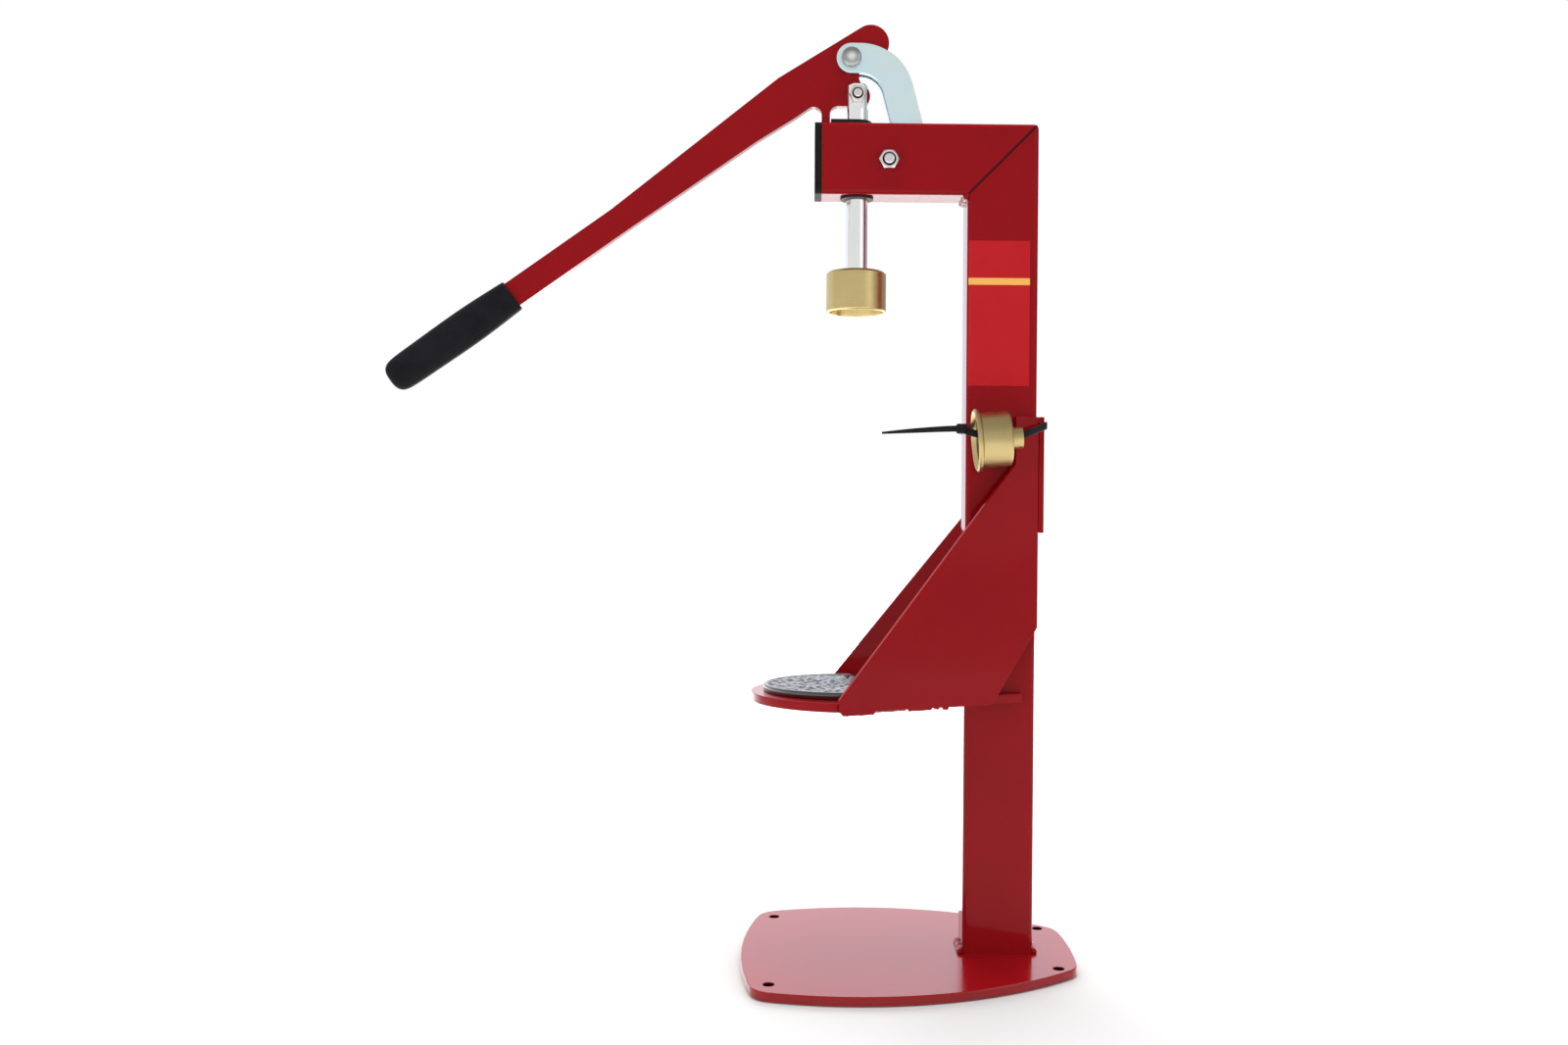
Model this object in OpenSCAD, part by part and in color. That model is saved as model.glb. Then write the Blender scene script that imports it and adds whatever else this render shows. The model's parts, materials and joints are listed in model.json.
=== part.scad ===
// Bench capper: a lever and a pair of bent links push a plunger with a capping bell
// down on a bottle, which stands on a shelf that slides and jams on the column.
// Millimetres. X runs from front (-) to rear (+), Y across, Z up. The origin lies on
// the underside of the base plate, below the axis of the column.

/* [Base plate] */
// Thickness of the base plate
base_t = 5; // [3:0.5:10]
// Reach of the base plate in front of the column axis
base_front = 146; // [120:1:180]
// Reach of the base plate behind the column axis
base_rear = 43.5; // [38:0.5:60]
// Largest width of the base plate
base_w = 162; // [140:1:190]
// Distance from the column axis to the widest place
base_widest = 78; // [60:1:90]
// Bulge radius of the two long sides
base_side_r = 180; // [150:1:260]
// Bulge radius of the front edge
base_front_r = 280; // [200:5:500]
// Bulge radius of the rear edge
base_rear_r = 300; // [200:5:500]
// Radius of the corners
base_corner_r = 15; // [8:1:20]
// Diameter of the four screw holes
screw_hole_d = 6; // [4:0.5:8]
// Distance of the front pair of holes from the front edge
front_hole_edge = 17.5; // [14:0.5:26]
// Distance of the front pair of holes from the plate's widest side
front_hole_side = 20; // [18:0.5:30]
// Distance of the rear pair of holes from the rear edge
rear_hole_edge = 13; // [9.5:0.5:15.5]
// Distance of the rear pair of holes from the plate's widest side
rear_hole_side = 44.5; // [42:0.5:54]

/* [Frame tubes] */
// Side of the tube seen from the side
tube_w = 40; // [36:1:50]
// Side of the tube across the capper
tube_d = 25; // [24:0.5:32]
// Wall of the tube
tube_t = 2; // [1.5:0.5:2.5]
// Outer corner radius of the tube
tube_r = 3; // [2.5:0.25:4]
// Inner corner radius of the tube
tube_inner_r = 1; // [0.5:0.25:2]
// Height of the arm's top face
frame_h = 474; // [450:1:560]
// Reach of the arm in front of the column axis
arm_reach = 102; // [98:1:120]
// Radius of the ground weld on the frame's outer corner
frame_corner_r = 4; // [1:0.5:4.5]
// Thickness of the end cap's flange
cap_flange_t = 4; // [2:0.5:6]
// Depth of the end cap's plug in the tube
cap_plug_l = 5; // [3:0.5:6]
// Wall of the end cap's plug
cap_plug_t = 1.6; // [1:0.2:2.4]
// Clearance of the end cap's plug in the tube
cap_gap = 0.2; // [0.1:0.05:0.4]

/* [Plunger] */
// Distance from the column axis to the plunger axis
plunger_x = 82; // [80:0.5:84]
// Diameter of the plunger rod
rod_d = 12.5; // [12:0.1:13]
// Radial clearance of the rod in its bushes
rod_gap = 0.05; // [0.02:0.01:0.09]
// Height of the fork pin above the arm
pin_rise = 17; // [16.5:0.25:20]
// Height of the fork above its pin
fork_top = 6.5; // [6:0.25:8]
// Depth of the fork slot below its pin
fork_slot = 7.6; // [7.2:0.1:8]
// Distance between the two milled flats of the fork
fork_flat = 10; // [9.4:0.1:11]
// Clearance of the lever on each side in the fork
fork_gap = 0.2; // [0.1:0.05:0.4]
// Chamfer on the top of the fork
fork_chamfer = 0.8; // [0.2:0.1:1.2]
// Outer diameter of a guide bush in the arm
bush_d = 16; // [15.5:0.1:17]
// Width of the upper bush flange and diameter of its round rear end
upper_flange_w = 17; // [16.6:0.2:20]
// Thickness of the upper bush flange
upper_flange_t = 2.4; // [1.5:0.1:4]
// Gap between the upper bush flange and the lever's heel
flange_gap = 0.5; // [0.3:0.1:2]
// Diameter of the lower bush flange
lower_flange_d = 18.8; // [18:0.2:22]
// Thickness of the lower bush flange
lower_flange_t = 1.2; // [0.8:0.1:4]
// Depth of a bush in the arm, from the arm's outer face
bush_l = 10; // [6:0.5:11]
// Clearance of a bush in its hole
bush_gap = 0.1; // [0.05:0.05:0.2]

/* [Capping bell] */
// Length of plunger rod between the arm and the bell
rod_show = 42; // [25:0.5:60]
// Outer diameter of the bell
bell_d = 34; // [33:0.5:38]
// Height of the bell
bell_h = 23; // [21:0.5:28]
// Depth of the crimping hollow
bell_hollow = 13; // [10:0.5:13.5]
// Length of the tapered mouth in the hollow
bell_taper = 7; // [4:0.5:8]
// Diameter of the mouth
bell_mouth_d = 31; // [30:0.25:32]
// Diameter of the crimping throat
bell_throat_d = 28.4; // [27:0.1:29]
// Chamfer on the bell's outer edges
bell_chamfer = 1.4; // [0.4:0.1:2]
// Diameter of the spigot that holds the bell
spigot_d = 8; // [6:0.5:9]
// Length of the spigot that holds the bell
spigot_l = 8; // [5:0.5:8.5]
// Clearance of the spigot in the bell
spigot_gap = 0.05; // [0.02:0.01:0.2]

/* [Lever] */
// Thickness of the lever plate
lever_t = 5; // [4:0.25:5.5]
// Angle of the lever below the horizontal, at the end of its stroke
lever_angle = 35.3; // [33:0.1:37]
// Length of the lever from the link pivot to its bar end
lever_l = 309; // [270:1:340]
// Height of the bar's upper edge above the line from the link pivot
lever_top_w = 8.4; // [7:0.1:10]
// Depth of the bar's lower edge below the line from the link pivot
lever_low_w = 6.4; // [5:0.1:7]
// Distance from the link pivot to where the bar's taper ends
lever_taper_l = 160; // [120:1:200]
// Height of the knee above the line from the link pivot
lever_knee_w = 15; // [13:0.25:17]
// Distance from the link pivot to the knee
lever_knee_l = 40; // [36:1:60]
// Depth of the belly below the line from the link pivot
lever_belly_w = 7.3; // [7.1:0.1:8]
// Distance from the link pivot to the belly
lever_belly_l = 70; // [60:1:90]
// Depth of the throat in front of the heel
lever_throat_w = 8.8; // [8.2:0.1:10]
// Distance from the link pivot to the throat
lever_throat_l = 44; // [40:1:50]
// Radius of the round head beyond the link pivot
lever_head_r = 10.3; // [9:0.1:11]
// Distance from the link pivot to the centre of the round head
lever_head_l = 14.4; // [13:0.1:17]
// Rise of the round head's centre over the line from the link pivot
lever_head_rise = 1.3; // [0.5:0.1:2]
// Link pivot in front of the fork pin
pivot_dx = 3.5; // [3:0.1:4]
// Link pivot above the fork pin
pivot_dz = 20.5; // [20:0.1:21.5]
// Width of the heel that stops on the arm
heel_w = 4.7; // [3:0.1:6]
// Distance from the fork pin to the heel's rear side
heel_dx = 15.5; // [14.5:0.1:16.5]
// Gap between heel and arm at the end of the stroke
heel_gap = 0.3; // [0.2:0.05:0.5]
// Radius of the lobe round the fork pin
lobe_r = 7.2; // [6:0.1:7.3]
// Depth of the web below the fork pin
web_drop = 5.8; // [5:0.1:6.6]
// Fillet of the notches beside the heel
notch_r = 4.5; // [2:0.25:4.75]

/* [Grip] */
// Length of the grip sleeve
grip_l = 84.5; // [60:0.5:110]
// Wall of the grip over the bar's edges at its mouth
grip_wall = 1.8; // [1.4:0.1:3]
// Swell of the grip over its mouth, on each side
grip_swell = 1.2; // [0.4:0.1:2]
// Distance from the grip's mouth to its thickest place
grip_thick_l = 32; // [20:1:40]
// Radius of the rounding at the grip's closed end
grip_end_r = 7.5; // [6:0.25:9]
// Wall of the grip over the bar's faces
grip_face = 2.6; // [1.5:0.1:4]
// Clearance of the bar in the grip
grip_gap = 0.2; // [0.1:0.05:0.3]
// Length of the closed end of the grip
grip_end = 9; // [6:0.5:12]

/* [Links] */
// Width of a link
link_w = 17; // [16:0.2:18]
// Thickness of a link
link_t = 3; // [2:0.25:3.5]
// Gap between a link and the lever
link_gap = 0.3; // [0.2:0.05:0.5]
// Straight length before the bend of a link
link_lead = 5; // [4:0.25:7]
// Bend radius at the middle of a link
link_bend_r = 22.1; // [20:0.1:23]
// Bend angle of a link
link_bend = 75; // [72:1:80]
// Length of the leg after the bend
link_leg = 23; // [20:0.5:26]
// Fulcrum behind the plunger axis
fulcrum_dx = 17.5; // [16.5:0.25:18.5]
// Fulcrum below the middle of the arm
fulcrum_drop = 1.6; // [0:0.1:2]
// Diameter of the links' lower eye, wide round the fulcrum bolt
eye_d = 14; // [13.8:0.1:14.4]
// Width of the links round the lower eye
eye_w = 20; // [19:0.2:21]
// Reach of the link slot in front of the fulcrum
slot_front = 1.5; // [1:0.5:5]
// Reach of the link slot behind the fulcrum
slot_rear = 30; // [28.5:0.5:40]
// Gap beside the links in the slot
slot_gap = 0.7; // [0.4:0.1:1]

/* [Fasteners] */
// Shank diameter of the bolts through the links and the fulcrum
bolt_d = 6; // [5:0.5:6.5]
// Shank diameter of the fork bolt
fork_bolt_d = 5; // [4:0.5:5.5]
// Radial clearance of a pivot
pivot_gap = 0.05; // [0.02:0.01:0.09]
// Width across flats of a hexagon over its bolt's diameter
hex_ratio = 1.65; // [1.5:0.05:1.8]
// Height of a nut over its bolt's diameter
nut_ratio = 0.8; // [0.6:0.05:1]
// Height of a bolt head over its bolt's diameter
head_ratio = 0.65; // [0.5:0.05:0.8]
// Diameter of the link bolt's round head over its diameter
dome_ratio = 1.85; // [1.6:0.05:2]
// Length of a bolt end beyond its nut
bolt_end = 1.2; // [0.5:0.1:3]
// Clearance of a bolt in a nut, spacer or plain hole
bolt_gap = 0.05; // [0.02:0.01:0.15]
// Outer diameter of the fulcrum spacers
spacer_d = 10; // [9:0.5:12]

/* [Shelf] */
// Height of the shelf plate's underside
shelf_z = 149; // [120:1:200]
// Thickness of the shelf plate
shelf_t = 5; // [3:0.5:8]
// Radius of the shelf's round nose, about the plunger axis
shelf_nose_r = 59; // [57:0.5:62]
// Reach of the shelf's side arms behind the column axis
shelf_arm = 12; // [6:0.5:16]
// Thickness of the bracket sheet
sheet_t = 3; // [2:0.25:4]
// Clearance of the bracket round the column
slide_gap = 0.5; // [0.3:0.05:0.8]
// Gap at the welded seams of the bracket
weld_gap = 0.1; // [0.05:0.01:0.2]
// Splay of the two wings from the column
wing_splay = 21.5; // [20:0.25:23]
// Reach of the wings in front of the column axis
wing_front = 92.5; // [88:0.5:96]
// Height of the bracket above the shelf's underside
wing_h = 160.5; // [150:0.5:175]
// Width of the upright tab at the top of a wing
wing_tab = 16; // [14:0.5:17]
// Height of the tab's foot above the shelf's underside
wing_tab_z = 134; // [125:0.5:140]
// Height of a wing's front edge
wing_nose = 7; // [5.5:0.25:10]
// Distance from the bracket's back to the end of a wing's lower edge
wing_foot = 29.5; // [24:0.5:36]
// Height where a wing's lower rear corner is cut off
wing_cut = 44; // [20:1:60]
// Height of the strap behind the column
strap_h = 65; // [40:1:90]
// Diameter of the rubber pad
pad_d = 90; // [70:1:94]
// Thickness of the rubber pad
pad_t = 4; // [2:0.5:6]
// Pad centre in front of the plunger axis
pad_dx = 7; // [4:0.5:8]
// Rounding of the pad's upper edge
pad_edge = 1.2; // [0.5:0.1:1.8]

/* [Spare bell and tie] */
// Height of the spare bell's axis above the shelf's underside, at its mouth
spare_z = 146.3; // [144:0.1:150]
// Distance from the column axis to the spare bell's mouth
spare_x = 17.4; // [15:0.1:19]
// Tilt of the spare bell
spare_tilt = 4.5; // [3.5:0.1:5.5]
// Diameter of the spare bell's lip
spare_lip_d = 34.8; // [33:0.2:36]
// Width of the spare bell's lip
spare_lip_l = 2.4; // [1.5:0.1:4]
// Diameter of the spare bell
spare_d = 30.4; // [29.5:0.1:32]
// Length of the spare bell without its stem
spare_l = 19.6; // [18:0.1:20]
// Diameter of the spare bell's hollow
spare_hollow_d = 26; // [24:0.25:27]
// Chamfer on the spare bell's edges
spare_edge = 1; // [0.4:0.1:1.2]
// Wall between the hollow and the stem
spare_wall = 3; // [2:0.25:4]
// Diameter of the stem
stem_d = 12; // [11:0.25:13]
// Length of the stem
stem_l = 6.8; // [5:0.1:8]
// Bore of the stem
stem_bore = 7.8; // [7.6:0.1:8.4]
// Gap between the spare bell's lip and the column
spare_gap = 0.6; // [0.5:0.05:1]
// Width of the cable tie
tie_w = 4; // [3.4:0.1:4.2]
// Thickness of the cable tie
tie_t = 1.2; // [0.8:0.1:1.4]
// Clearance of the cable tie round what it holds
tie_gap = 0.3; // [0.25:0.05:0.4]
// Height of the tie above the spare bell's axis at its mouth
tie_rise = 2.7; // [2.6:0.02:2.76]
// Size of the tie's square head
tie_head = 6; // [5:0.25:7]
// Length of the tie's loose tail
tie_tail = 42; // [20:1:60]
// Width of the tail's tip
tie_tip_w = 1.2; // [0.8:0.1:2]

/* [Label] */
// Height of the label's lower edge
label_z = 327; // [316:1:340]
// Height of the label
label_h = 80; // [60:1:90]
// Width of the label
label_w = 33.6; // [25:0.2:34]
// Thickness of the label
label_t = 0.2; // [0.1:0.05:0.3]

/* [Hidden] */
$fn = 96;
facet_fn = 48;
arc_steps = 16;
eps = 0.01;
over = 1;
red = [0.55, 0.11, 0.13];
label_red = [0.73, 0.15, 0.18];
steel = [0.78, 0.79, 0.8];
zinc = [0.72, 0.79, 0.86];
brass = [0.8, 0.69, 0.42];
black = [0.1, 0.1, 0.11];
// Places of the arm and of the three pivots of the mechanism
arm_mid = frame_h - tube_w / 2;
arm_low = frame_h - tube_w;
pin = [-plunger_x, frame_h + pin_rise];
pivot = [pin[0] - pivot_dx, pin[1] + pivot_dz];
fulcrum = [fulcrum_dx - plunger_x, arm_mid - fulcrum_drop];
// Half widths across the mechanism, from the middle plane outwards
lever_y = lever_t / 2;
link_in = lever_y + link_gap;
link_out = link_in + link_t;
arm_in = tube_d / 2 - tube_t;
// Bend of the links, seen from the link pivot
bend_end = [link_lead + link_bend_r * sin(link_bend), link_bend_r * (cos(link_bend) - 1)];
leg_end = bend_end + link_leg * [cos(link_bend), -sin(link_bend)];
eye = fulcrum - pivot;
// The plunger between bell and fork
bell_top = arm_low - rod_show;
fork_slot_w = lever_t + 2 * fork_gap;
// The grip along the lever's axis
grip_start = lever_l + grip_end - grip_l;
grip_w = lever_top_w + lever_low_w + 2 * (grip_wall + grip_gap);
grip_d = lever_t + 2 * (grip_face + grip_gap);
// The inner line of the wings, from the bracket's back to the front
wing_back = tube_w / 2 + slide_gap;
wing_in = tube_d / 2 + slide_gap;
wing_l = (wing_back + wing_front) / cos(wing_splay);
function wing_y(x) = wing_in + (wing_back - x) * tan(wing_splay);
// The spare bell and the tie that holds it
spare_y = tube_d / 2 + spare_gap + spare_lip_d / 2;
tie_mid_z = shelf_z + spare_z + tie_rise;
stem_end = spare_x - (spare_l + stem_l) * cos(spare_tilt);

// Points on an arc about c, from angle a0 to angle a1
function arc(c, r, a0, a1) = [
    for (i = [0 : arc_steps])
        let (a = a0 + (a1 - a0) * i / arc_steps)
        c + r * [cos(a), sin(a)]
];

// A flat plate standing in the XZ plane, from y_far towards the near side
module upright(y_far, t) {
    translate([0, y_far, 0])
        rotate([90, 0, 0])
            linear_extrude(t)
                children();
}

// A round rod or hole along Y from y0 to y1, through a point of the XZ plane
module cross_rod(at, d, y0, y1) {
    translate([at[0], y1, at[1]])
        rotate([90, 0, 0])
            cylinder(d = d, h = y1 - y0);
}

// A hexagon along Y from y0 to y1
module cross_hex(at, flats, y0, y1) {
    translate([at[0], y1, at[1]])
        rotate([90, 0, 0])
            cylinder(d = flats / cos(30), h = y1 - y0, $fn = 6);
}

// A hexagon nut for a bolt of diameter d, along Y from y0
module cross_nut(at, d, y0) {
    h = d * nut_ratio;
    difference() {
        cross_hex(at, d * hex_ratio, y0, y0 + h);
        cross_rod(at, d + 2 * bolt_gap, y0 - over, y0 + h + over);
    }
}

module rounded_rect(w, d, r) {
    square([w - 2 * r, d], center = true);
    square([w, d - 2 * r], center = true);
    for (sx = [-1, 1], sy = [-1, 1])
        translate([sx * (w / 2 - r), sy * (d / 2 - r)])
            circle(r);
}

module tube_section() {
    difference() {
        rounded_rect(tube_w, tube_d, tube_r);
        rounded_rect(tube_w - 2 * tube_t, tube_d - 2 * tube_t, tube_inner_r);
    }
}

// The half space above the mitre of column and arm
module above_mitre() {
    size = 4 * (arm_reach + tube_w);
    translate([-tube_w / 2, 0, arm_low])
        rotate([0, -45, 0])
            translate([-size / 2, -size / 2, 0])
                cube([size, size, size]);
}

// What the grinding of the corner weld takes off the frame
module ground_corner() {
    translate([tube_w / 2 - frame_corner_r, 0, frame_h - frame_corner_r])
        difference() {
            translate([0, -tube_d, 0])
                cube([frame_corner_r + over, 2 * tube_d, frame_corner_r + over]);
            cross_rod([0, 0], 2 * frame_corner_r, -2 * tube_d, 2 * tube_d);
        }
}

// Frame

module base_outline() {
    offset(r = base_corner_r)
        intersection() {
            translate([base_front_r - base_front, 0])
                circle(base_front_r - base_corner_r);
            translate([base_rear - base_rear_r, 0])
                circle(base_rear_r - base_corner_r);
            translate([-base_widest, base_side_r - base_w / 2])
                circle(base_side_r - base_corner_r);
            translate([-base_widest, base_w / 2 - base_side_r])
                circle(base_side_r - base_corner_r);
        }
}

module base_plate() {
    color(red)
        difference() {
            linear_extrude(base_t)
                base_outline($fn = 2 * facet_fn);
            for (side = [-1, 1]) {
                translate([front_hole_edge - base_front, side * (base_w / 2 - front_hole_side), -over])
                    cylinder(d = screw_hole_d, h = base_t + 2 * over);
                translate([base_rear - rear_hole_edge, side * (base_w / 2 - rear_hole_side), -over])
                    cylinder(d = screw_hole_d, h = base_t + 2 * over);
            }
        }
}

module column_tube() {
    color(red)
        difference() {
            translate([0, 0, base_t])
                linear_extrude(frame_h - base_t)
                    tube_section();
            above_mitre();
            ground_corner();
        }
}

module arm_tube() {
    bolt_hole = bolt_d + 2 * bolt_gap;
    color(red)
        difference() {
            intersection() {
                translate([-arm_reach, 0, arm_mid])
                    rotate([0, 90, 0])
                        linear_extrude(arm_reach + tube_w / 2)
                            tube_section();
                above_mitre();
            }
            ground_corner();
            translate([-plunger_x, 0, arm_low - over])
                cylinder(d = bush_d, h = tube_w + 2 * over);
            cross_rod(fulcrum, bolt_hole, -tube_d, tube_d);
            translate([fulcrum[0] - slot_front, -link_out - slot_gap, frame_h - tube_t - over])
                cube([slot_front + slot_rear, 2 * (link_out + slot_gap), tube_t + 2 * over]);
        }
}

module arm_end_cap() {
    plug_w = tube_w - 2 * (tube_t + cap_gap);
    plug_d = tube_d - 2 * (tube_t + cap_gap);
    color(black)
        translate([-arm_reach, 0, arm_mid])
            rotate([0, 90, 0]) {
                translate([0, 0, -cap_flange_t])
                    linear_extrude(cap_flange_t)
                        rounded_rect(tube_w, tube_d, tube_r);
                linear_extrude(cap_plug_l)
                    difference() {
                        rounded_rect(plug_w, plug_d, tube_inner_r);
                        square([plug_w - 2 * cap_plug_t, plug_d - 2 * cap_plug_t], center = true);
                    }
            }
}

// A guide bush whose flange, the outline given, lies below z = 0 and whose sleeve goes up
module guide_bush(flange_t) {
    difference() {
        union() {
            translate([0, 0, -flange_t])
                linear_extrude(flange_t)
                    children();
            cylinder(d = bush_d - 2 * bush_gap, h = bush_l);
        }
        translate([0, 0, -flange_t - over])
            cylinder(d = rod_d + 2 * rod_gap, h = bush_l + flange_t + 2 * over);
    }
}

// The upper flange reaches forward to the lever's heel
module upper_guide_bush() {
    half_w = upper_flange_w / 2;
    color(black)
        translate([-plunger_x, 0, frame_h])
            mirror([0, 0, 1])
                guide_bush(upper_flange_t)
                    polygon(concat(
                        [[flange_gap - heel_dx, half_w], [flange_gap - heel_dx, -half_w]],
                        arc([0, 0], half_w, -90, 90)
                    ));
}

module lower_guide_bush() {
    color(black)
        translate([-plunger_x, 0, arm_low])
            guide_bush(lower_flange_t)
                circle(d = lower_flange_d);
}

module fulcrum_bolt() {
    head_y = tube_d / 2;
    nut_h = bolt_d * nut_ratio;
    color(zinc) {
        cross_rod(fulcrum, bolt_d, -head_y - nut_h - bolt_end, head_y + eps);
        cross_hex(fulcrum, bolt_d * hex_ratio, head_y, head_y + bolt_d * head_ratio);
    }
}

module fulcrum_nut() {
    color(zinc)
        cross_nut(fulcrum, bolt_d, -tube_d / 2 - bolt_d * nut_ratio);
}

module fulcrum_spacers() {
    outer_in = link_out + link_gap;
    color(steel)
        difference() {
            for (span = [[-arm_in, -outer_in], [-lever_y, lever_y], [outer_in, arm_in]])
                cross_rod(fulcrum, spacer_d, span[0], span[1]);
            cross_rod(fulcrum, bolt_d + 2 * bolt_gap, -tube_d, tube_d);
        }
}

module height_label() {
    color(label_red)
        translate([-label_w / 2, -tube_d / 2 - label_t, label_z])
            cube([label_w, label_t, label_h]);
}

// Plunger

module plunger_rod() {
    top = pin[1] + fork_top;
    color(steel)
        difference() {
            translate([-plunger_x, 0, 0])
                rotate_extrude()
                    polygon([
                        [0, bell_top - spigot_l],
                        [spigot_d / 2, bell_top - spigot_l],
                        [spigot_d / 2, bell_top],
                        [rod_d / 2, bell_top],
                        [rod_d / 2, top - fork_chamfer],
                        [rod_d / 2 - fork_chamfer, top],
                        [0, top]
                    ]);
            translate([-plunger_x - rod_d, -fork_slot_w / 2, pin[1] - fork_slot])
                cube([2 * rod_d, fork_slot_w, fork_slot + fork_top + over]);
            for (side = [0, 1])
                mirror([0, side, 0])
                    translate([-plunger_x - rod_d, fork_flat / 2, pin[1] - fork_slot])
                        cube([2 * rod_d, rod_d, fork_slot + fork_top + over]);
            cross_rod(pin, fork_bolt_d + 2 * bolt_gap, -rod_d, rod_d);
        }
}

module capping_bell() {
    r = bell_d / 2;
    socket_r = spigot_d / 2 + spigot_gap;
    color(brass)
        translate([-plunger_x, 0, bell_top - bell_h])
            rotate_extrude()
                polygon([
                    [socket_r, bell_h],
                    [r - bell_chamfer, bell_h],
                    [r, bell_h - bell_chamfer],
                    [r, bell_chamfer / 2],
                    [r - bell_chamfer / 2, 0],
                    [bell_mouth_d / 2, 0],
                    [bell_throat_d / 2, bell_taper],
                    [bell_throat_d / 2, bell_hollow],
                    [socket_r, bell_hollow]
                ]);
}

module fork_bolt() {
    nut_h = fork_bolt_d * nut_ratio;
    head_y = fork_flat / 2;
    color(zinc) {
        cross_rod(pin, fork_bolt_d, -head_y - nut_h - bolt_end, head_y + eps);
        cross_hex(pin, fork_bolt_d * hex_ratio, head_y, head_y + fork_bolt_d * head_ratio);
    }
}

module fork_nut() {
    color(zinc)
        cross_nut(pin, fork_bolt_d, -fork_flat / 2 - fork_bolt_d * nut_ratio);
}

// Lever, drawn from the link pivot

module lever_profile() {
    pin_at = pin - pivot;
    heel_rear = pin_at[0] - heel_dx;
    heel_foot = frame_h + heel_gap - pivot[1];
    web_foot = pin_at[1] - web_drop;
    offset(r = -notch_r)
        offset(r = notch_r) {
            rotate(180 + lever_angle) {
                polygon([
                    [lever_l, lever_low_w],
                    [lever_l, -lever_top_w],
                    [lever_taper_l, -lever_top_w],
                    [lever_knee_l, -lever_knee_w],
                    [-lever_head_l, -lever_head_rise - lever_head_r],
                    [-lever_head_l, lever_head_r - lever_head_rise],
                    [lever_throat_l, lever_throat_w],
                    [lever_belly_l, lever_belly_w],
                    [lever_taper_l, lever_low_w]
                ]);
                translate([-lever_head_l, -lever_head_rise])
                    circle(lever_head_r);
            }
            translate([heel_rear - heel_w, heel_foot])
                square([heel_w, -heel_foot - lever_head_r]);
            translate([heel_rear, web_foot])
                square([pin_at[0] - heel_rear, -web_foot]);
            translate(pin_at)
                circle(lobe_r);
        }
}

module lever_plate() {
    color(red)
        difference() {
            translate([pivot[0], 0, pivot[1]])
                upright(lever_y, lever_t)
                    lever_profile($fn = facet_fn);
            cross_rod(pivot, bolt_d + 2 * pivot_gap, -lever_t, lever_t);
            cross_rod(pin, fork_bolt_d + 2 * pivot_gap, -lever_t, lever_t);
        }
}

// A flat disc with a round rim, across the lever
module round_disc(r, t) {
    rotate([90, 0, 0])
        rotate_extrude()
            intersection() {
                translate([r - t / 2, 0])
                    circle(t / 2);
                translate([0, -t])
                    square(2 * t);
            }
}

// A section of the grip across the lever's axis, w wide
module grip_section(w) {
    for (side = [-1, 1])
        translate([0, 0, side * (w - grip_d) / 2])
            rotate([0, 90, 0])
                cylinder(d = grip_d, h = over, $fn = facet_fn);
}

module lever_grip() {
    thick_w = grip_w + 2 * grip_swell;
    end_w = grip_w + grip_swell;
    pocket_w = lever_top_w + lever_low_w + 2 * grip_gap;
    pocket_d = lever_t + 2 * grip_gap;
    color(black)
        translate([pivot[0], 0, pivot[1]])
            rotate([0, 180 - lever_angle, 0])
                translate([grip_start, 0, (lever_low_w - lever_top_w) / 2])
                    difference() {
                        hull() {
                            grip_section(grip_w);
                            translate([grip_thick_l, 0, 0])
                                grip_section(thick_w);
                            for (side = [-1, 1])
                                translate([grip_l - grip_end_r, 0, side * (end_w / 2 - grip_end_r)])
                                    round_disc(grip_end_r, grip_d, $fn = facet_fn);
                        }
                        translate([-over, -pocket_d / 2, -pocket_w / 2])
                            cube([over + grip_l - grip_end + grip_gap, pocket_d, pocket_w]);
                    }
}

// Links, drawn from the link pivot

// The outline runs round the upper eye, along the outer side to the lower eye and back
module link_profile() {
    half = link_w / 2;
    bend_at = [link_lead, -link_bend_r];
    leg_side = 90 - link_bend;
    way = eye - leg_end;
    foot_side = atan2(way[1], way[0]) + 90;
    crook_side = (leg_side + foot_side) / 2 + 180;
    crook = leg_end + half / cos((leg_side - foot_side) / 2) * [cos(crook_side), sin(crook_side)];
    polygon(concat(
        arc([0, 0], half, -90, -270),
        arc(bend_at, link_bend_r + half, 90, leg_side),
        arc(leg_end, half, leg_side, foot_side),
        arc(eye, eye_w / 2, foot_side, foot_side - 180),
        [crook],
        arc(bend_at, link_bend_r - half, leg_side, 90)
    ));
}

module link_plate(y_far) {
    color(zinc)
        difference() {
            translate([pivot[0], 0, pivot[1]])
                upright(y_far, link_t)
                    link_profile();
            cross_rod(pivot, bolt_d + 2 * bolt_gap, -tube_d, tube_d);
            cross_rod(fulcrum, eye_d, -tube_d, tube_d);
        }
}

module link_near() {
    link_plate(-link_in);
}

module link_far() {
    link_plate(link_out);
}

module link_bolt() {
    nut_h = bolt_d * nut_ratio;
    dome_d = bolt_d * dome_ratio;
    dome_h = bolt_d * head_ratio;
    dome_r = (pow(dome_d / 2, 2) + pow(dome_h, 2)) / (2 * dome_h);
    color(zinc) {
        cross_rod(pivot, bolt_d, -link_out - eps, link_out + nut_h + bolt_end);
        intersection() {
            translate([pivot[0], dome_r - dome_h - link_out, pivot[1]])
                sphere(dome_r);
            cross_rod(pivot, dome_d + over, -link_out - dome_h - over, -link_out);
        }
    }
}

module link_nut() {
    color(zinc)
        cross_nut(pivot, bolt_d, link_out);
}

// Shelf bracket

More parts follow.
